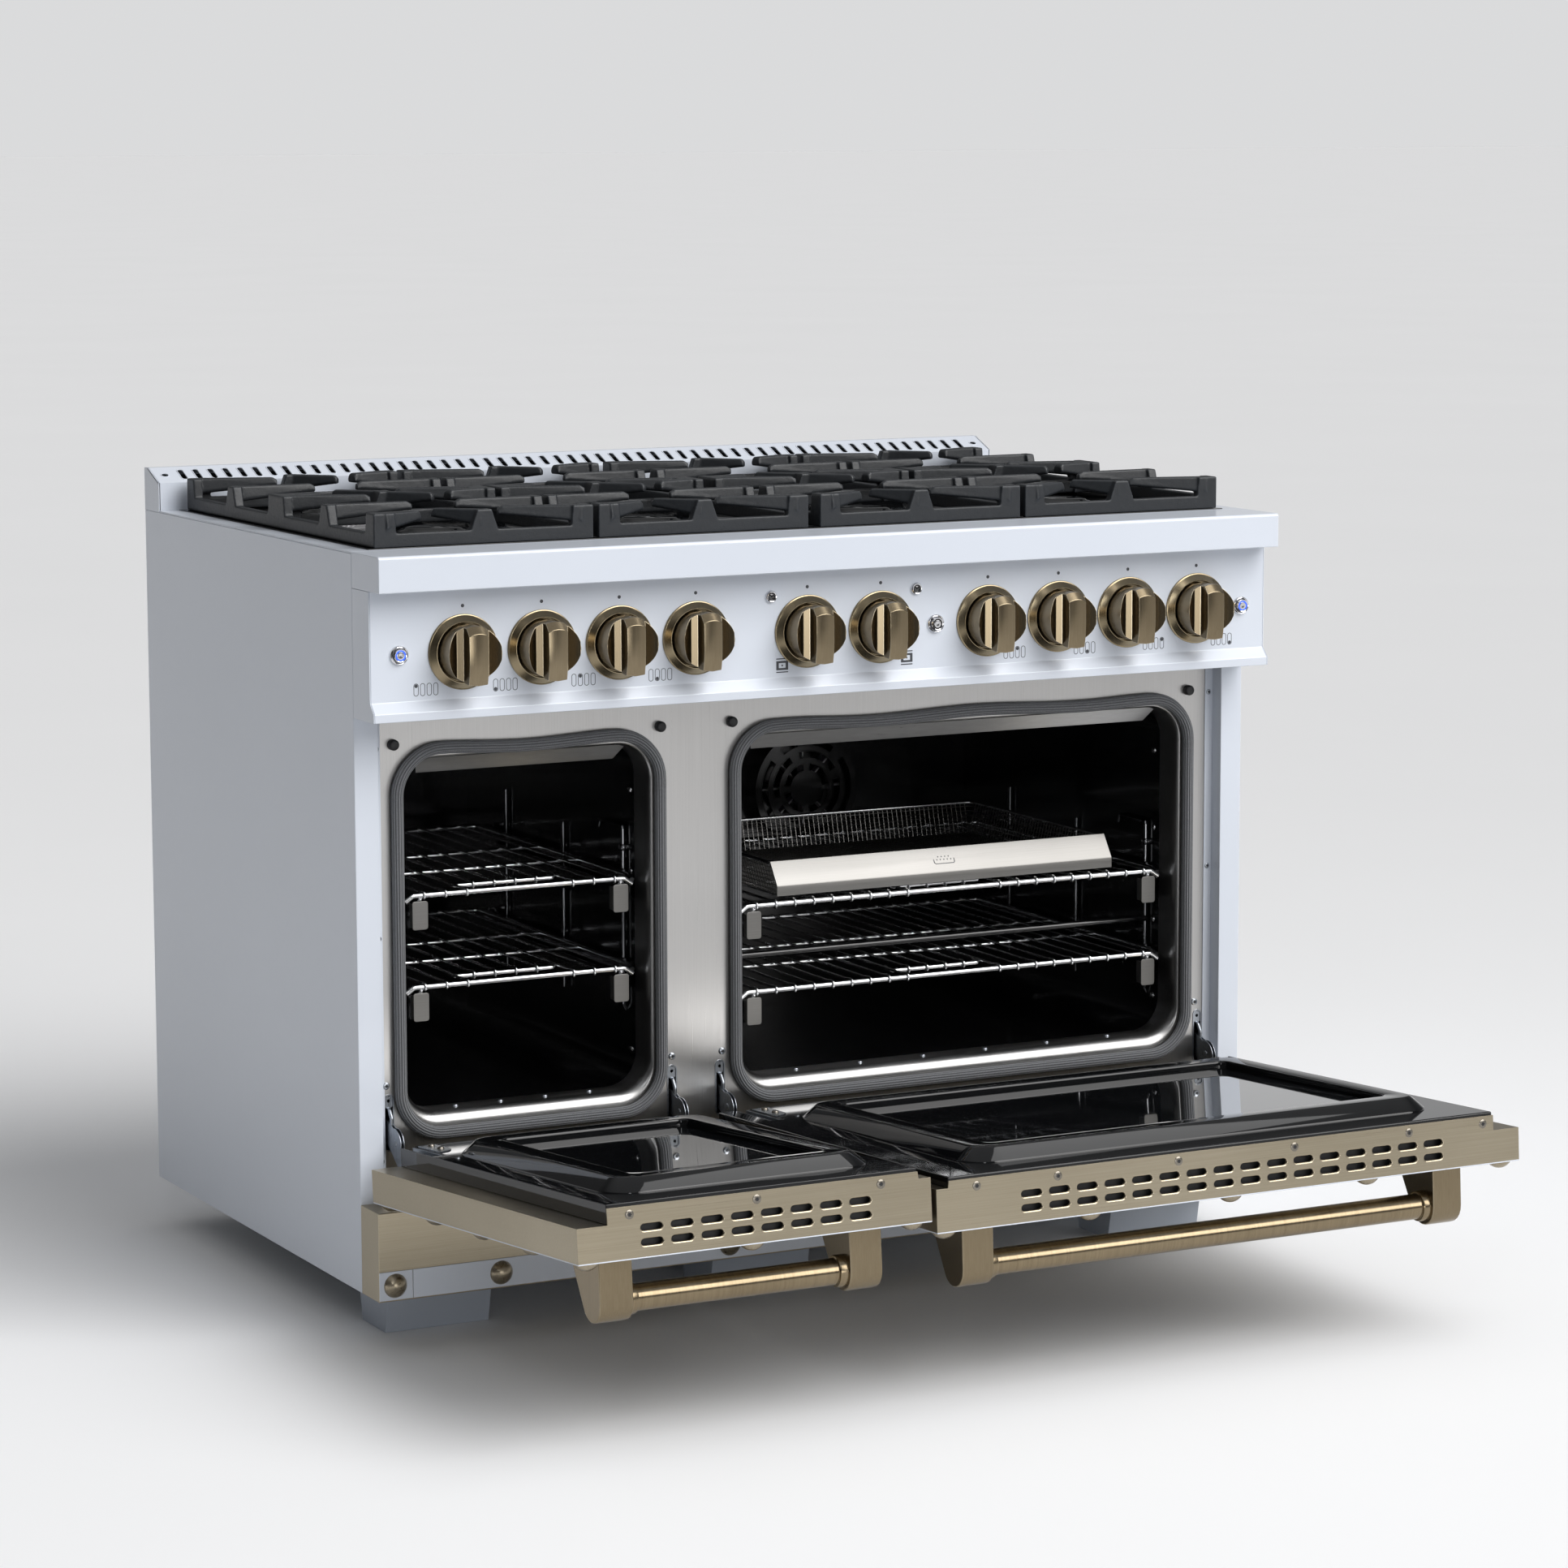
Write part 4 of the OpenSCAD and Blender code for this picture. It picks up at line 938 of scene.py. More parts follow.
def printing():
    """Generic marks on the panel: a dot over each knob, burner maps and oven symbols."""
    marks = Shape()
    thick = (PANEL_Y - 0.12, PANEL_Y + 0.05)

    def solid(loop):
        marks.plate([loop], "y", *thick)

    def outline(outer, inner):
        marks.plate([outer, inner[::-1]], "y", *thick)

    for k, name in enumerate(KNOBS):
        x = middle_x(name)
        solid(circle(x, 870.5, 2.1, 20))
        if "oven" in name:
            cx, cz = x + (36 if "right" in name else -34), 777.5
            outline(round_rect(cx - 8, cx + 8, cz - 5.5, cz + 5.5, 0.4, 2),
                    round_rect(cx - 4.6, cx + 4.6, cz - 3, cz + 3, 0.4, 2))
            for z in (cz - 8.6, cz + 7.4):
                solid(round_rect(cx - 8, cx + 8, z, z + 1.3, 0.2, 1))
            solid(circle(cx, cz, 1.1, 12))
            continue
        burner = k if k < 4 else k - 2
        cx = x + (-47 if k < 4 else 38)
        for p in range(4):
            px = cx + (p - 1.5) * 8.2
            outline(round_rect(px - 3.1, px + 3.1, 768.4, 783.2, 3.0, 6),
                    round_rect(px - 2.4, px + 2.4, 769.1, 782.5, 2.3, 6))
            if p == burner // 2:
                solid(circle(px, 780.2 if burner % 2 == 0 else 771.4, 2.1, 20))
    marks.build("panel_marks", "enamel_black", "root", look="ink")


# ---- ovens ----
def gaskets():
    """Braided rope gasket: sags a little between its clips along the top."""
    for i, side in enumerate(SIDES):
        loop = oven_outline(i, 7.6, 12)
        (x0, x1), top = OVEN_X[i], OVEN_Z[1]
        path = []
        for k, (x, z) in enumerate(loop):
            ahead = loop[(k + 1) % len(loop)]
            path.append((x, z))
            gap = math.hypot(ahead[0] - x, ahead[1] - z)
            steps = int(gap // 12)
            path += [(x + (ahead[0] - x) * s / steps, z + (ahead[1] - z) * s / steps) for s in range(1, steps)]
        points = []
        for x, z in path:
            share = (x - x0) / (x1 - x0)
            on_top = max(0.0, min(1.0, (z - top + 20) / 20))
            inside = max(0.0, min(1.0, share * 6)) * max(0.0, min(1.0, (1 - share) * 6))
            wave = 2.2 * math.sin(share * math.pi * (2.6 + i * 1.7) + 0.7)
            points.append(Vector((x, RECESS - 6.8, z + wave * on_top * inside)))
        section = [(r * 7.4 * math.cos(a), r * 7.0 * math.sin(a)) for a, r in
                   [(math.pi + math.pi * k / 28, 1 - 0.075 * (k % 4 == 0)) for k in range(56)]]
        rope = Shape()
        rope.sweep(points, section, loop=True, up=(0, -1, 0))
        rope.build(f"gasket_{side}", "gasket_braid", "root", "oven_gaskets", smooth=80)


def mouth_sleeves():
    """Rolled steel edge in each oven mouth, deep along the bottom, with a sloped strip behind it at the top."""
    strips = Shape()
    for i, side in enumerate(SIDES):
        sleeve = Shape()
        (x0, x1), (z0, z1) = OVEN_X[i], OVEN_Z
        rings = []
        for k in range(15):
            turn = math.radians(90 * min(k, 12) / 12)
            roll, back = 1 - math.cos(turn), math.sin(turn)
            y = RECESS + 0.4 + 15 * roll + max(0, k - 12) * 13
            grow = (4.2, 15.0, 4.2)
            side_in, rise, drop = [0.2 + g * back for g in grow]
            rings.append([(x, y, z) for x, z in
                          round_rect(x0 + side_in, x1 - side_in, z0 + rise, z1 - drop, OVEN_R - 5 * back, 12)])
        rings.append([(x, RECESS + 42.4, z) for x, z in round_rect(x0 + 0.2, x1 - 0.2, z0 + 0.2, z1 - 0.2, OVEN_R, 12)])
        sleeve.skin(rings, loop=True)
        sleeve.build(f"mouth_{side}_sleeve", "frame_steel", "root", look="mouth_steel", smooth=50)
        slope = [(RECESS + 16, z1 - 4.4), (RECESS + 26, z1 - 23), (RECESS + 27, z1 - 22.6), (RECESS + 18, z1 - 4.4)]
        strips.skin([[(x0 + 26 + (y - RECESS - 16) * 0.4, y, z) for y, z in slope],
                     [(x1 - 26 - (y - RECESS - 16) * 1.4, y, z) for y, z in slope]])
    strips.build("mouth_strips", "frame_steel", "root", look="mouth_steel", bevel=0.2)


def face_fasteners():
    """Rubber plugs, frame screws, lip screws and the studs on the oven walls."""
    plugs, screws, sockets, studs = Shape(), Shape(), Shape(), Shape()
    for i in (0, 1):
        (x0, x1), (z0, z1) = OVEN_X[i], OVEN_Z
        for x in (x0 - 10, x1 + 10):
            plugs.lathe([(0, -8.5), (4.6, -8.3), (6.0, -7.2), (6.5, -5.8), (6.5, 0), (0, 0)],
                        (x, RECESS, z1 + 16), "y", 32)
        for x in (x0 - 24, x1 + 24):
            star_screw(screws, sockets, (x, RECESS, z0 + 54), "y", -1, 4.5, 2.6)
        count = (4, 6)[i]
        span = x1 - x0 - 2 * OVEN_R
        for k in range(count):
            x = x0 + OVEN_R + span * (k + 0.5) / count
            star_screw(screws, sockets, (x, RECESS + 26, z0 + 15.2), "z", 1, 3.8, 2.4)
        for wall, out in ((x0, 1), (x1, -1)):
            for z in (300, 400, 520, 620):
                studs.lathe([(0, out * 2.4), (2.0, out * 2.2), (3.6, out * 1.2), (4.2, -0.1 * out), (0, -0.1 * out)],
                            (wall, 84, z), "x", 20)
    plugs.build("frame_plugs", "zinc_steel", "root", "frame_fasteners", look="rubber_and_shade", smooth=50)
    screws.build("frame_screws", "zinc_steel", "root", "frame_fasteners", smooth=40)
    sockets.build("frame_screw_sockets", "zinc_steel", "root", "frame_fasteners", look="rubber_and_shade")
    studs.build("oven_wall_studs", "chrome_trim", "root", look="chrome_trim", smooth=50)


def hinge_arms():
    """Plated arms coming out of the slots in the face frame, with a keeper plate above each."""
    arms, keepers = Shape(), Shape()
    hy, hz = hinge_line("left")
    z0 = OVEN_Z[0]
    curve = arc(-1, z0 - 12, 19, 75, 200, 10)
    outline = [(RECESS + 19, z0 + 12), (RECESS + 19, z0 - 8), (RECESS - 8, z0 - 20), (hy + 30, hz + 13),
               (hy + 3.6, hz - 2.4), (hy, hz - 4.2), (hy - 3.6, hz - 2.4), (hy - 3.8, hz + 2.4)]
    outline += [(hy + 10, hz + 15)] + curve[::-1] + [(RECESS - 2, z0 + 12)]
    for i in (0, 1):
        for x in HINGE_X[i]:
            for s in (-1, 1):
                a, b = sorted((s * 1.6, s * 2.5))
                arms.prism(outline, "x", x + a, x + b)
            link = [(RECESS + 8, z0 + 26), (RECESS - 2, z0 + 26), (RECESS - 9, z0 + 16), (RECESS - 8, z0 + 2)]
            arms.wire([(x, y, z) for y, z in link], 2.4, 10, 5)
            arms.lathe([(0, -3.6), (3.4, -3.4), (4.2, -2.6), (4.2, 2.6), (3.4, 3.4), (0, 3.6)],
                       (x, -3, z0 - 10), "x", 20)
            arms.lathe([(0, -2.5), (4.2, -2.5), (4.2, 2.5), (0, 2.5)], (x, hy, hz), "x", 24)
            loop = round_rect(x - 5.0, x + 5.0, z0 - 24, z0 + 42, 4.9, 5)
            rim = round_rect(x - 6.6, x + 6.6, z0 - 25.6, z0 + 43.6, 6.5, 5)
            keepers.plate([rim, loop[::-1]], "y", RECESS - 0.9, RECESS + 0.1)
            keepers.plate([round_rect(x - 4.8, x + 4.8, z0 + 27, z0 + 41, 3), circle(x, z0 + 35.5, 2.0, 16)[::-1]],
                          "y", RECESS + 0.3, RECESS + 1.6)
    arms.build("hinge_arm_plates", "zinc_steel", "root", "hinge_arms", bevel=0.35, look="zinc_steel")
    keepers.build("hinge_keepers", "zinc_steel", "root", "hinge_arms")


def rack(name, i, z):
    """Wire rack: the cross wires hook over the front bar, and a short bar stops them in the middle."""
    x0, x1 = OVEN_X[i][0] + 11, OVEN_X[i][1] - 11
    y0, y1 = RACK_Y
    bar, wire = 3.4, 1.9
    n = (11, 23)[i]
    step = (x1 - x0) / n
    wires, glides, rails = Shape(), Shape(), Shape()
    wires.wire([(x0, y0 + 8, z - 4), (x0, y0 + 22, z), (x0, y1, z), (x1, y1, z), (x1, y0 + 22, z), (x1, y0 + 8, z - 4)],
               bar, 10, 9.0)
    wires.wire([(x0 + 4, y0 - 0.5, z - 7), (x0 + 14, y0, z), (x1 - 14, y0, z), (x1 - 4, y0 - 0.5, z - 7)], bar, 10, 6)
    for y in (y0 + 160, (y0 + y1) / 2 + 40):
        wires.wire([(x0, y, z - 0.6), (x1, y, z - 0.6)], wire + 0.4, 8)
    middle = range(n // 2 - 1, n // 2 + 3)
    for k in range(1, n):
        x = x0 + k * step
        front = y0 + 46 if k in middle else y0
        hook = [(x, front - bar - 0.6, z - 2.4), (x, front - bar, z + 2.6),
                (x, front + 2, z + bar + 1.0), (x, front + 14, z + 2.9)]
        wires.wire(hook + [(x, y1 - 6, z + 2.9), (x, y1 + 1, z + 3.2)], wire, 7, 2.5)
        collar = [(x, *spot) for spot in circle(front, z, bar + 1.0, 10)]
        wires.sweep(collar, circle(0, 0, 1.7, 6), loop=True, up=(1, 0, 0))
    a, b = x0 + middle[0] * step - step * 0.9, x0 + middle[-1] * step + step * 0.9
    wires.wire([(a, y0 + 62, z + 2.4), (a, y0 + 46, z), (b, y0 + 46, z), (b, y0 + 62, z + 2.4)], bar * 0.85, 10, 6)
    for x, out in ((x0 + 21, -1), (x1 - 21, 1)):
        face = round_rect(x - 10, x + 10, z - 40, z - 6, 3.2, 4)
        glides.plate([face], "y", y0 - 6, y0 - 4.4)
        for s in (-1, 1):
            edge = sorted((x + s * 9.9, x + s * 8.5))
            glides.box((edge[0], y0 - 5, z - 37), (edge[1], y0 + 6, z - 9))
        wires.wire([(x + 4, y0 - 0.5, z), (x + 2, y0 - 1, z - 4), (x, y0, z - 9)], 2.6, 8, 3)
        rails.box((x + out * 9 - 1.2, y0 + 2, z - 38), (x + out * 9 + 1.2, y1 - 60, z - 10))
        rails.lathe([(0, -1.4), (4, -1.2), (4.4, 0), (0, 0)], (x + out * 7.6, y0 + 70, z - 24), "x", 18)
    wires.build(f"{name}_wires", "chrome_wire", name, name, smooth=70)
    glides.build(f"{name}_glides", "chrome_wire", name, name, bevel=0.5, look="basket_steel")
    rails.build(f"{name}_rails", "chrome_wire", name, name, bevel=0.4, look="oven_enamel")


def racks():
    """Two racks in each oven."""
    for i, side in enumerate(SIDES):
        for level, z in zip(("upper", "lower"), RACK_Z[i]):
            rack(f"rack_{side}_{level}", i, z)


def ladders():
    """Side supports bent from wire, with stops that hook upwards."""
    wires, bar = Shape(), Shape()
    rod = 2.9
    for i in (0, 1):
        for wall, out in ((OVEN_X[i][0], 1), (OVEN_X[i][1], -1)):
            top, base = max(RACK_Z[i]) + 60, min(RACK_Z[i]) - 60
            near, lane = wall + out * 4, wall + out * 10
            wires.wire([(wall + out * 1, 97, base), (near, 97, base + 6), (near, 97, top - 3),
                        (near, 160, top - 3), (near, 164, top - 12)], rod, 9, 5)
            for y, high in ((270, top - 22), (445, top - 3)):
                wires.wire([(near, y, high), (near, y, high - 60),
                            (wall + out * 11, y - 5, high - 70), (wall + out * 18, y - 8, high - 66)], rod, 9, 7)
                wires.wire([(near, y, high - 50), (near, y, base)], rod, 9)
            for z in (top - 30, top - 90, base + 40):
                wires.lathe([(0, 0), (5.0, 0), (5.0, out * 5), (3.4, out * 8), (0, out * 8)], (wall, 97, z), "x", 16)
            for z in RACK_Z[i]:
                lie = z - 6.8
                wires.wire([(wall + out * 3, 94, lie + 10), (lane, 97, lie), (lane, 503, lie),
                            (wall + out * 3, 506, lie + 10)], rod, 9, 8)
    x0, x1 = OVEN_X[1]
    bar.lathe([(0, x0 + 2), (4.5, x0 + 2), (4.5, x1 - 2), (0, x1 - 2)], (0, 97, 400), "x", 20)
    x0 = OVEN_X[0][0]
    wires.wire([(x0 + 20, 566, 600), (x0 + 20, 556, 600), (x0 + 150, 556, 600), (x0 + 150, 556, 572),
                (x0 + 150, 572, 572)], 2.6, 9, 10)
    # The ladder wires take the darkened chrome: painted shade of the oven.
    wires.build("ladder_wires", "chrome_wire", "root", "rack_ladders", look="chrome_rod_shaded", smooth=70)
    bar.build("igniter_bar", "chrome_wire", "root", "rack_ladders", look="oven_enamel", smooth=50)


def basket():
    """Wire-mesh tray with a folded steel front."""
    low, high = cab_box("air_fry_basket")
    x0, x1 = low.x, high.x
    y0, y1 = 72.0, high.y
    z0, z1 = low.z, high.z
    mesh_wires, rim, front = Shape(), Shape(), Shape()
    lean, pitch, strand, base = 12.0, 7.0, 0.55, z0 + 2.4
    nx, ny = int((x1 - x0 - 2 * lean) // pitch), int((y1 - y0 - 2 * lean) // pitch)
    for k in range(nx + 1):
        x = x0 + lean + 2 + (x1 - x0 - 2 * lean - 4) * k / nx
        mesh_wires.wire([(x, y0 + 2, z1 - 2), (x, y0 + lean, base), (x, y1 - lean, base), (x, y1 - 2, z1 - 2)],
                        strand, 4)
    for k in range(ny + 1):
        y = y0 + lean + 2 + (y1 - y0 - 2 * lean - 4) * k / ny
        mesh_wires.wire([(x0 + 2, y, z1 - 2), (x0 + lean, y, base), (x1 - lean, y, base), (x1 - 2, y, z1 - 2)],
                        strand, 4)
    for k in range(1, 7):
        t = k / 7
        off, z = 2 + (lean - 2) * (1 - t), z0 + 1 + (z1 - z0 - 3) * t
        loop = [Vector((x, y, z)) for x, y in round_rect(x0 + off, x1 - off, y0 + off, y1 - off, 9, 4)]
        mesh_wires.sweep(loop, circle(0, 0, strand, 4), loop=True)
    ring = [Vector((x, y, z1 - 2.4)) for x, y in round_rect(x0 + 2.6, x1 - 2.6, y0 + 2.6, y1 - 2.6, 12, 6)]
    rim.sweep(ring, circle(0, 0, 2.4, 12), loop=True)
    for x in (x0 + 40, x1 - 40, (x0 + x1) / 2):
        rim.wire([(x, y0 + lean, z0 + 0.9), (x, y1 - lean, z0 + 0.9)], 0.9, 8)
    lip = low.y
    fold = [(y0 + 3, z1), (y0 + 1, z1), (lip + 0.8, z0 + 17), (lip, z0 + 15), (lip, z0 + 3), (lip + 1.4, z0 + 3),
            (lip + 1.4, z0 + 15), (lip + 2.2, z0 + 16.6), (y0 + 3, z1 - 1.6)]
    front.prism(fold, "x", x0, x1)
    body = "air_fry_basket"
    mesh_wires.build("basket_mesh", "basket_steel", body, body, smooth=60)
    rim.build("basket_rim", "basket_steel", body, body, look="chrome_wire", smooth=60)
    front.build("basket_front", "basket_steel", body, body, bevel=0.5)
    symbol = Shape()
    tilt = math.atan2(z1 - z0 - 17, y0 + 1 - lip - 0.8)
    across = math.hypot(z1 - z0 - 17, y0 + 1 - lip - 0.8)

    def lay(p, t):
        return Vector((p[0], lip + 0.8 + p[1] * math.cos(tilt) - t * math.sin(tilt),
                       z0 + 17 + p[1] * math.sin(tilt) + t * math.cos(tilt)))

    AXES["lip"] = lay
    middle, up = (x0 + x1) / 2, across * 0.36
    tray = [(middle - 15, up + 5), (middle - 15, up), (middle - 13, up - 2), (middle + 13, up - 2), (middle + 15, up),
            (middle + 15, up + 5), (middle + 13.8, up + 5), (middle + 13.8, up), (middle + 12.4, up - 1),
            (middle - 12.4, up - 1), (middle - 13.8, up), (middle - 13.8, up + 5)]
    symbol.plate([tray], "lip", -0.1, 0.12)
    for row in range(2):
        for k in range(5 - row):
            symbol.plate([circle(middle + (k - 2 + row / 2) * 5, up + 4 + row * 4, 0.9, 12)], "lip", -0.1, 0.12)
    symbol.build("basket_symbol", "basket_steel", body, look="ink")


def fan_cover():
    """Pressed cover with arc-shaped slots in three rings on a square plate."""
    low, high = cab_box("fan_housing")
    cx, cz = (low.x + high.x) / 2, (low.z + high.z) / 2
    front = low.y
    cover, back = Shape(), Shape()
    holes = []
    for ring, (r0, r1) in enumerate(((24, 34), (41, 51), (58, 68))):
        for k in range(4):
            a0, a1 = k * 90 + ring * 22 + 8, k * 90 + ring * 22 + 82
            holes.append((arc(cx, cz, r1, a0, a1, 12) + arc(cx, cz, r0, a1, a0, 12))[::-1])
    cover.plate([circle(cx, cz, 77, 64)] + holes, "y", front, front + 1.5)
    cover.lathe([(78, 1.2), (78, 30), (76.5, 30), (76.5, 1.2), (77, 0.2)], (cx, front, cz), "y", 64)
    for hole in holes:
        cover.sweep([Vector((x, front + 0.3, z)) for x, z in hole], circle(0, 0, 1.0, 6), loop=True, up=(0, -1, 0))
    wall = front + 30
    side = 96
    top = min(cz + side, OVEN_Z[1] - 6)
    plate = round_rect(cx - side, cx + side, cz - side, top, 8)
    cover.plate([plate, circle(cx, cz, 60, 48)[::-1]], "y", wall - 2.2, wall - 0.4)
    for x in (cx - side + 18, cx + side - 18):
        for z in (cz - side + 18, top - 18):
            cover.lathe([(0, -5), (4, -5), (5, -4), (5, -2.2), (9, -2.2), (9, -1), (0, -1)], (x, wall, z), "y", 24)
    cover.build("fan_cover", "oven_enamel", "root", "fan_housing", smooth=35)
    back.lathe([(0, 32), (42, 32), (42, 90), (38, 92), (0, 92)], (cx, front, cz), "y", 40)
    back.build("fan_motor", "oven_enamel", "root", "fan_housing", look="galvanised", smooth=40)


# ---- doors ----
def slotted_band(i):
    """Outline and louvre slots of the band along a door's top edge, in (x, y)."""
    x0, x1 = DOOR_X[i]
    p0, p1 = PANEL_X[i]
    face, rim, band = DOOR_FACE, DOOR_FACE + RIM_T, DOOR_FACE + BAND_T
    if i == 0:
        outline = [(x0, face), (x1, face), (x1, band - 8), (x1 - 15, band - 8), (x1 - 16, band),
                   (p0, band), (p0, rim), (x0, rim)]
    else:
        outline = [(x0, face), (x1, face), (x1, rim), (p1, rim), (p1, band),
                   (x0 + 16, band), (x0 + 15, band - 8), (x0, band - 8)]
    middle, count = (x0 + x1) / 2, (8, 16)[i]
    slots = []
    for k in range(count):
        for y in (15.5, 31.5):
            x = middle + (k - (count - 1) / 2) * 36
            slots.append(round_rect(x - LOUVRE[0], x + LOUVRE[0], face + y - LOUVRE[1], face + y + LOUVRE[1], 5.2, 6))
    return outline, slots


def door_skin(i, side):
    """Brass tray: face with a window, folded rim, and the slotted band along the door's top edge."""
    x0, x1 = DOOR_X[i]
    z0, z1 = DOOR_Z
    face, rim, t = DOOR_FACE, DOOR_FACE + RIM_T, SHEET
    p0, p1 = PANEL_X[i]
    place, body = door_place(side), f"door_{side}"
    skin, lips = Shape(), Shape()
    window = round_rect(OVEN_X[i][0] + 50, OVEN_X[i][1] - 50, OVEN_Z[0] + 50, OVEN_Z[1] - 50, 12)
    full = [(x0, z0), (x1, z0), (x1, z1 - t), (x0, z1 - t)]
    skin.plate([full, window[::-1]], "y", face, face + t)
    inner = [(p0 + 8, z0 + 10), (p1 - 8, z0 + 10), (p1 - 8, z1 - 12), (p0 + 8, z1 - 12)]
    skin.plate([full, inner[::-1]], "y", rim - t, rim)
    for a, b in ((x0, x0 + t), (x1 - t, x1)):
        skin.box((a, face + t, z0), (b, rim - t, z1 - t))
    skin.box((x0 + t, face + t, z0), (x1 - t, rim - t, z0 + t))
    seam = (x1 - 15.5, x1) if i == 0 else (x0, x0 + 15.5)
    wall = (x1 - t, x1) if i == 0 else (x0, x0 + t)
    skin.box((seam[0], face + BAND_T - 9.5, z0 + 4), (seam[1], face + BAND_T - 8, z1 - t))
    skin.box((wall[0], rim, z0 + 4), (wall[1], face + BAND_T - 9.5, z1 - t))
    outline, slots = slotted_band(i)
    skin.plate([outline] + [s[::-1] for s in slots], "z", z1 - t, z1)
    for slot in slots:
        cx, cy = sum(p[0] for p in slot) / len(slot), sum(p[1] for p in slot) / len(slot)
        rings = []
        for inset, depth in ((0.0, 0.05), (0.6, 0.2), (1.2, 0.7), (1.6, 1.5), (1.7, 3.2), (1.1, 3.2), (-0.4, 1.7),
                             (-0.6, 0.9)):
            wide, deep = 1 - inset / LOUVRE[0], 1 - inset / LOUVRE[1]
            rings.append([(cx + (x - cx) * wide, cy + (y - cy) * deep, z1 - depth) for x, y in slot])
        lips.skin(rings, loop=True)
    skin.build(f"{body}_shell", "brass_sheet", body, f"{body}_skin", place=place, bevel=0.7)
    lips.build(f"{body}_louvre_lips", "brass_sheet", body, f"{body}_skin", place=place, smooth=60)
    # Black strip under the louvre slots: painted shade seen through them.
    dark = Shape()
    dark.box((x0 + 6, face + 6, z1 - 11), (x1 - 6, rim - 4, z1 - 10))
    dark.build(f"{body}_louvre_shade", "enamel_black", body, place=place, look="rubber_and_shade")


def door_inner(i, side):
    """Enamelled inner panel: a flat slab, notched for the hinges, and the raised part round the window."""
    p0, p1 = PANEL_X[i]
    z0, z1 = DOOR_Z[0] + 2.3, DOOR_Z[1] - 2.3
    rim = DOOR_FACE + RIM_T
    place, body = door_place(side), f"door_{side}"
    panel = Shape()
    if i == 0:
        p1 = DOOR_X[0][1] - 16
    else:
        p0 = DOOR_X[1][0] + 16
    notch, reach = 8.0, 94.0
    outline = [(p1, z1), (p0, z1), (p0, z0)]
    for x in HINGE_X[i]:
        outline += [(x - notch, z0), (x - notch, z0 + reach), (min(x + notch, p1), z0 + reach)]
        if x + notch < p1:
            outline.append((x + notch, z0))
    if outline[-1][1] == z0:
        outline.append((p1, z0))
    panel.plate([outline], "y", rim, 0.0)
    panel.build(f"{body}_slab", "enamel_black", body, f"{body}_inner", place=place, bevel=3.2, segments=4)
    (ox0, ox1), (oz0, oz1) = OVEN_X[i], OVEN_Z
    raised = Shape()
    steps = [(0.0, -0.8, 42), (0.2, 0.5, 42), (1.0, 1.8, 41), (15.4, 14.4, 27), (16.6, 15.4, 26), (18.2, 15.9, 24),
             (20.0, 16.0, 23), (40.6, 16.0, 14), (42.4, 15.6, 13), (43.5, 14.5, 12), (44.0, 13.0, 12), (44.0, 5.9, 12),
             (46.5, 5.7, 10), (46.5, 1.0, 10)]
    rings = [[(x, y, z) for x, z in round_rect(ox0 + g, ox1 - g, oz0 + g, oz1 - g, r, 8)] for g, y, r in steps]
    raised.skin(rings, loop=True)
    raised.build(f"{body}_raised", "enamel_black", body, f"{body}_inner", place=place, smooth=50)
    glass = Shape()
    glass.plate([round_rect(ox0 + 44.3, ox1 - 44.3, oz0 + 44.3, oz1 - 44.3, 11.6)], "y", 2.0, 6.0)
    glass.plate([round_rect(ox0 + 50.3, ox1 - 50.3, oz0 + 50.3, oz1 - 50.3, 11.6)], "y", DOOR_FACE + 0.2, DOOR_FACE + 4)
    glass.build(f"{body}_panes", "oven_glass", body, f"{body}_glass", place=place, bevel=0.4)


def door_handle(i, side):
    """Bar with a collar at each end, held by two posts with a rounded nose."""
    x0, x1 = DOOR_X[i][0] + (42, 54)[i], DOOR_X[i][1] - (42, 54)[i]
    z, out, post, bar = DOOR_Z[0] + 505, 54.0, 40.0, 15.0
    face = DOOR_FACE
    place, body = door_place(side), f"door_{side}"
    posts, rod = Shape(), Shape()
    for a, b in ((x0, x0 + post), (x1 - post, x1)):
        nose = [(face - out - 23 * math.cos(t), z + 23 * math.sin(t)) for t in
                [math.radians(90 - 145 * k / 9) for k in range(10)]]
        outline = [(face, z + 23)] + nose + [(face, z - 54)]
        middle = [(y * 0.99 + (face - 30) * 0.01, q * 0.985 + z * 0.015) for y, q in outline]
        rings = []
        for x, ring in ((a, middle), (a + 3, outline), (b - 3, outline), (b, middle)):
            rings.append([Vector((x, y, q)) for y, q in ring])
        posts.skin(rings)
    centre = (0, face - out, z)
    c0, c1 = x0 + post, x1 - post
    rod.lathe([(0, c0 - 6), (18, c0 - 6), (18, c0 + 7.4), (17.2, c0 + 9), (15.4, c0 + 9.2), (bar, c0 + 9.4),
               (bar, c1 - 9.4), (15.4, c1 - 9.2), (17.2, c1 - 9), (18, c1 - 7.4), (18, c1 + 6), (0, c1 + 6)],
              centre, "x", 56)
    posts.build(f"{body}_posts", "brass_turned", body, f"{body}_handle", place=place, bevel=1.3, segments=3, smooth=30)
    rod.build(f"{body}_bar", "brass_turned", body, f"{body}_handle", place=place, look="brass_bar", smooth=45)


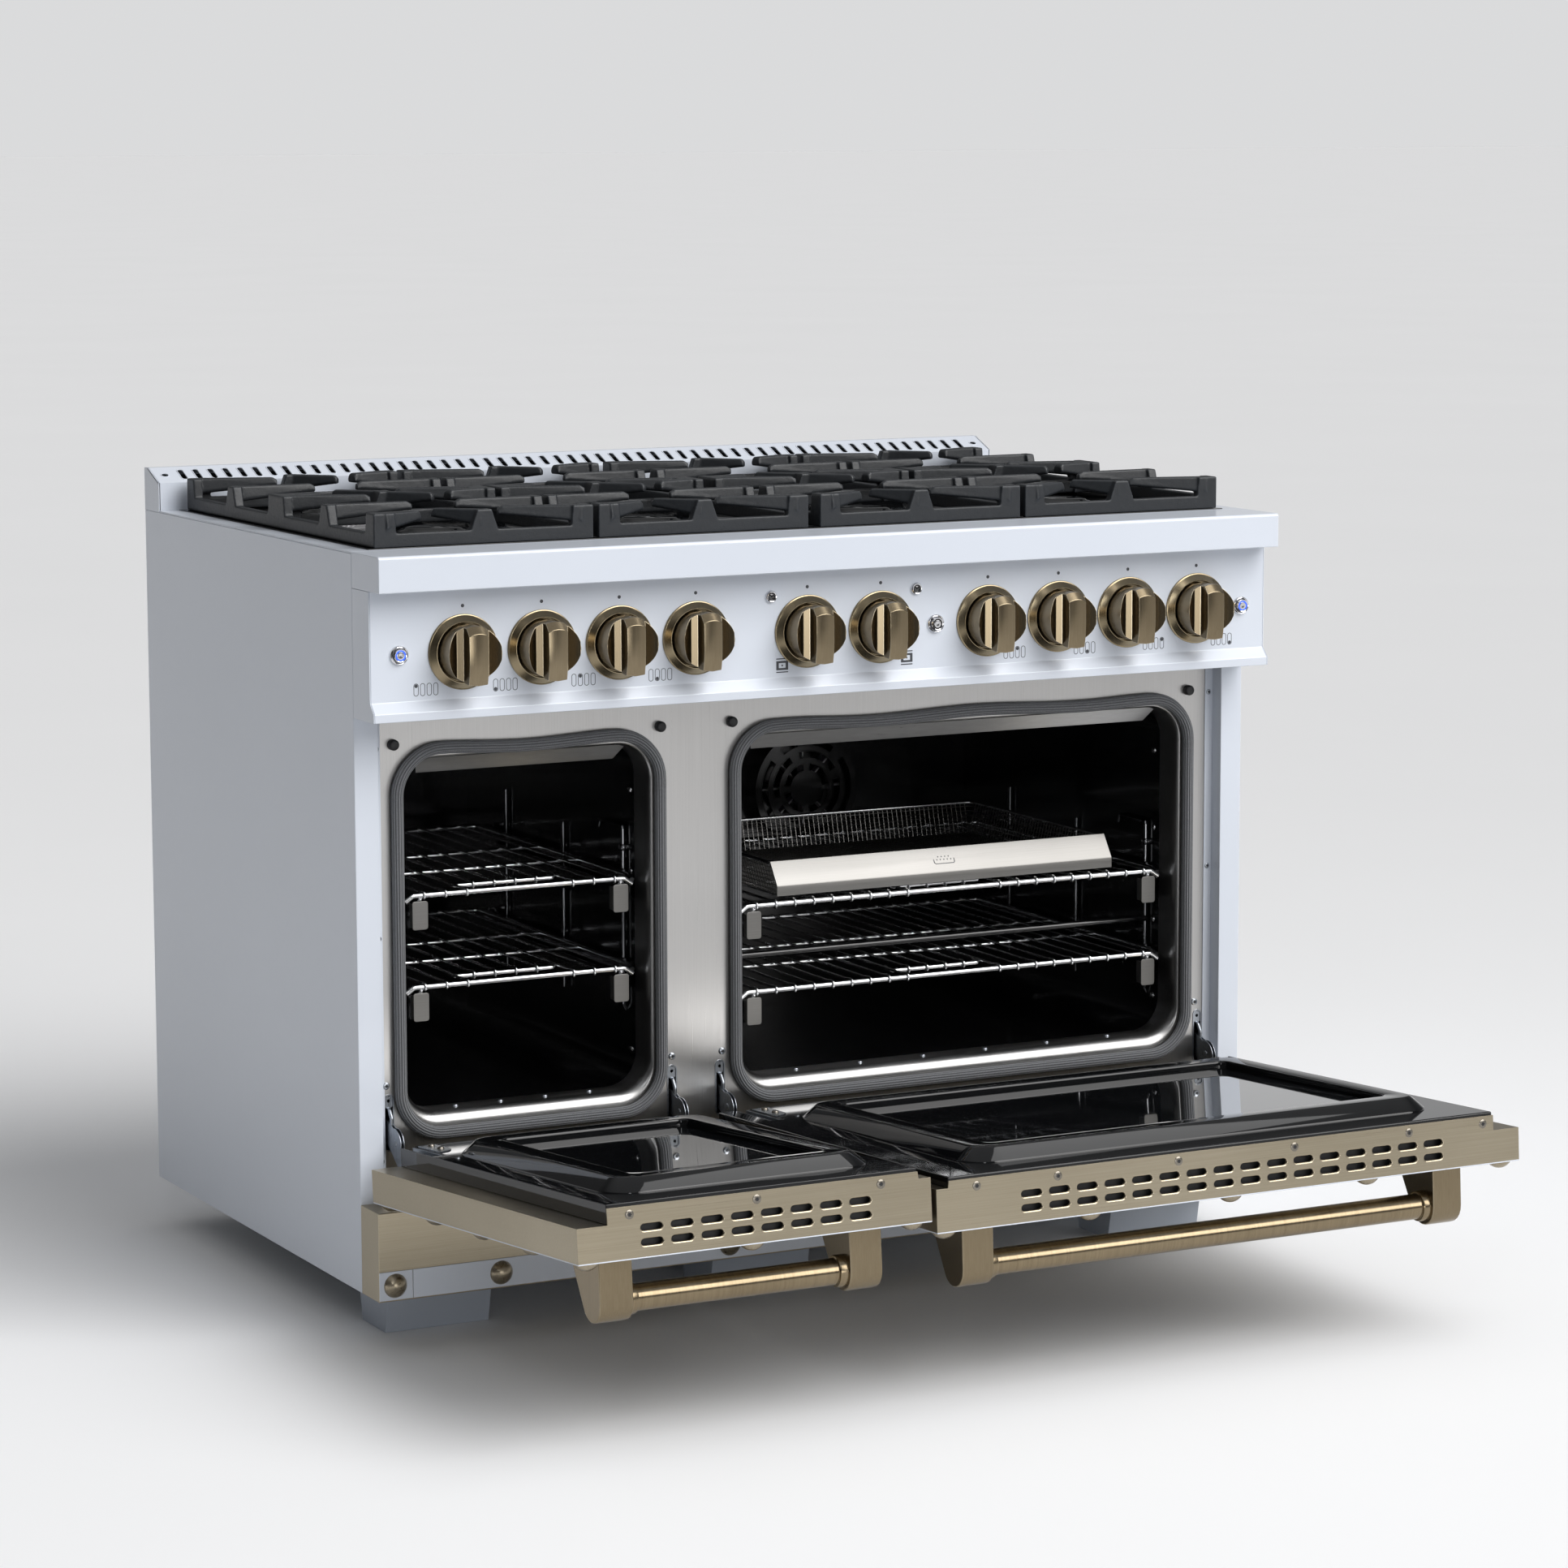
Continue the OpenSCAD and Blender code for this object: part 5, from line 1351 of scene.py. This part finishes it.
def door_trim(i, side):
    """White strap frame with rivet heads, the screws along the top edge and the plates beside the hinges."""
    x0, x1 = DOOR_X[i]
    z0, z1 = DOOR_Z
    face, wide, thick = DOOR_FACE, 34.0, 1.5
    place, body = door_place(side), f"door_{side}"
    strap, domes, screws, sockets, plates = Shape(), Shape(), Shape(), Shape(), Shape()
    outer = [(x0, z0), (x1, z0), (x1, z1), (x0, z1)]
    inner = [(x0 + wide, z0 + wide), (x1 - wide, z0 + wide), (x1 - wide, z1 - wide), (x0 + wide, z1 - wide)]
    strap.plate([outer, inner[::-1]], "y", face - thick, face)
    edge, n = wide / 2, (3, 5)[i]
    for k in range(n):
        for z in (z0 + edge, z1 - edge):
            domes.dome(x0 + edge + (x1 - x0 - wide) * k / (n - 1), face - thick, z)
    for x in (x0 + edge, x1 - edge):
        for k in (1, 2, 3):
            domes.dome(x, face - thick, z0 + edge + (z1 - z0 - wide) * k / 4)
    middle = (x0 + x1) / 2
    for x in ((-152, 0, 152), (-340, -236, -78, 78, 236, 340))[i]:
        star_screw(screws, sockets, (middle + x, face + 47, z1), "z", 1, 5.2, 0.9)
    for x in HINGE_X[i]:
        s = 1 if x < middle else -1
        a, b = sorted((x + s * 8.6, x + s * 30))
        c = x + s * 20
        plates.plate([[(a, z0 + 12), (b, z0 + 12), (b, z0 + 60), (b - s * 6 if s > 0 else b, z0 + 68), (a, z0 + 76)]],
                     "y", 0.1, 1.4)
        for z in (z0 + 24, z0 + 52):
            star_screw(screws, sockets, (c, 1.3, z), "y", 1, 4.4, 2.6)
        for off in (-6.5, 6.5):
            plates.box((x + off - 1.2, face + 1.8, z0 + 3), (x + off + 1.2, -1, z0 + 96))
        plates.lathe([(0, -7.6), (2, -7.6), (2, 7.6), (0, 7.6)], (x, *hinge_line(side)), "x", 16)
    strap.build(f"{body}_strap_frame", "enamel_white", body, f"{body}_strap", place=place, bevel=0.5)
    domes.build(f"{body}_domes", "zinc_steel", body, f"{body}_hardware", place=place, look="brass_dome")
    screws.build(f"{body}_screws", "zinc_steel", body, f"{body}_hardware", place=place, look="screw_steel", smooth=40)
    sockets.build(f"{body}_screw_sockets", "zinc_steel", body, f"{body}_hardware", place=place, look="rubber_and_shade")
    plates.build(f"{body}_hinge_plates", "zinc_steel", body, f"{body}_hardware", place=place, bevel=0.3)


# ---- stage ----
def aim(thing, target):
    """Turns a lamp to face a point."""
    thing.rotation_euler = (Vector(target) - thing.location).to_track_quat("-Z", "Y").to_euler()


def area(name, place, target, size, power, tint=(1, 1, 1)):
    """Rectangular studio lamp."""
    data = bpy.data.lights.new(name, "AREA")
    data.shape, data.size, data.size_y = "RECTANGLE", size[0], size[1]
    data.energy, data.color = power, tint
    lamp = link(name, data)
    lamp.location = place
    aim(lamp, target)


def stage():
    """Pale floor under a wide soft sun, with a paler sky behind the range than in front of it."""
    floor = bpy.data.meshes.new("floor")
    reach = 160.0
    corners = [(-reach, -reach, 0), (reach, -reach, 0), (reach, reach, 0), (-reach, reach, 0)]
    floor.from_pydata(corners, [], [(0, 1, 2, 3)])
    plane = link("floor", floor)
    pale = Look("floor_pale")
    place = pale.node("ShaderNodeSeparateXYZ")
    pale.put(place.inputs[0], pale.coords)
    ahead = pale.math("SUBTRACT", pale.math("MULTIPLY", place.outputs[0], -0.8),
                      pale.math("MULTIPLY", place.outputs[1], 0.6))
    far = pale.remap(ahead, 1.35, 3.0, 0.0, 1.0, smooth=True)
    near = pale.mix(pale.noise(0.8), (0.85, 0.855, 0.865), (0.878, 0.883, 0.893))
    pale.set("Base Color", pale.mix(far, near, (0.13, 0.132, 0.137)))
    pale.set("Roughness", 0.85)
    pale.set("Specular IOR Level", 0.1)
    floor.materials.append(pale.material)
    world = bpy.data.worlds.new("studio")
    bpy.context.scene.world = world
    world.use_nodes = True
    sky = Nodes(world.node_tree)
    split = sky.node("ShaderNodeSeparateXYZ")
    sky.put(split.inputs[0], sky.node("ShaderNodeTexCoord").outputs["Generated"])
    x, y, z = split.outputs
    turned = sky.math("ADD", y, sky.math("MULTIPLY", x, 0.45))
    back = sky.math("MULTIPLY", sky.remap(turned, -0.35, 0.6, 0.12, 0.715, smooth=True),
                    sky.remap(z, 0.05, 0.26, 1.0, 0.16, smooth=True))
    above = sky.remap(z, 0.45, 0.9, 0.05, 0.5, smooth=True)
    light = sky.tree.nodes["Background"]
    sky.put(light.inputs["Color"], (0.985, 0.99, 1.0))
    sky.put(light.inputs["Strength"], sky.math("MAXIMUM", back, above))
    sun = bpy.data.lights.new("sun", "SUN")
    sun.energy, sun.angle, sun.color = 2.75, math.radians(50), (1.0, 0.99, 0.98)
    lamp = link("sun", sun)
    lamp.location = (2.1, -3.5, 3.5)
    aim(lamp, (0, 0, 0.3))
    middle = (0, 0.1, 0.55)
    area("strip_left", (-2.4, -3.6, 2.4), middle, (0.5, 1.9), 14, (0.95, 0.97, 1.0))
    area("top", (0.95, -1.3, 2.9), (0.2, -0.5, 0.6), (2.2, 1.3), 22)
    area("fill", (-0.6, -4.6, 0.55), (0, -0.6, 0.15), (1.8, 0.8), 20)
    view = bpy.context.scene.view_settings
    view.view_transform, view.look, view.exposure, view.gamma = "Standard", "None", 0.0, 1.0


def camera():
    """Stands left of the range and above it, looking along its ovens."""
    data = bpy.data.cameras.new("camera")
    data.lens, data.sensor_width = 107.6, 36.0
    data.shift_x, data.shift_y = 0.0089, -0.0237
    data.clip_end = 400
    eye = link("camera", data)
    yaw, pitch, roll = math.radians(27.22), math.radians(7.68), math.radians(0.18)
    eye.matrix_world = (Matrix.Translation(CAB @ Vector((-2636.0, -4994.5, 1430.2)))
                        @ Matrix.Rotation(-yaw, 4, "Z") @ Matrix.Rotation(math.pi / 2 - pitch, 4, "X")
                        @ Matrix.Rotation(-roll, 4, "Z"))
    bpy.context.scene.camera = eye


camera()
stage()
cabinet()
control_panel()
face_frame()
back_panel()
post_flanges()
vent_trim()
kick_trim()
grates()
burners()
bezels()
knobs()
buttons()
printing()
gaskets()
mouth_sleeves()
face_fasteners()
hinge_arms()
racks()
ladders()
basket()
fan_cover()
for number, name in enumerate(SIDES):
    door_skin(number, name)
    door_inner(number, name)
    door_handle(number, name)
    door_trim(number, name)
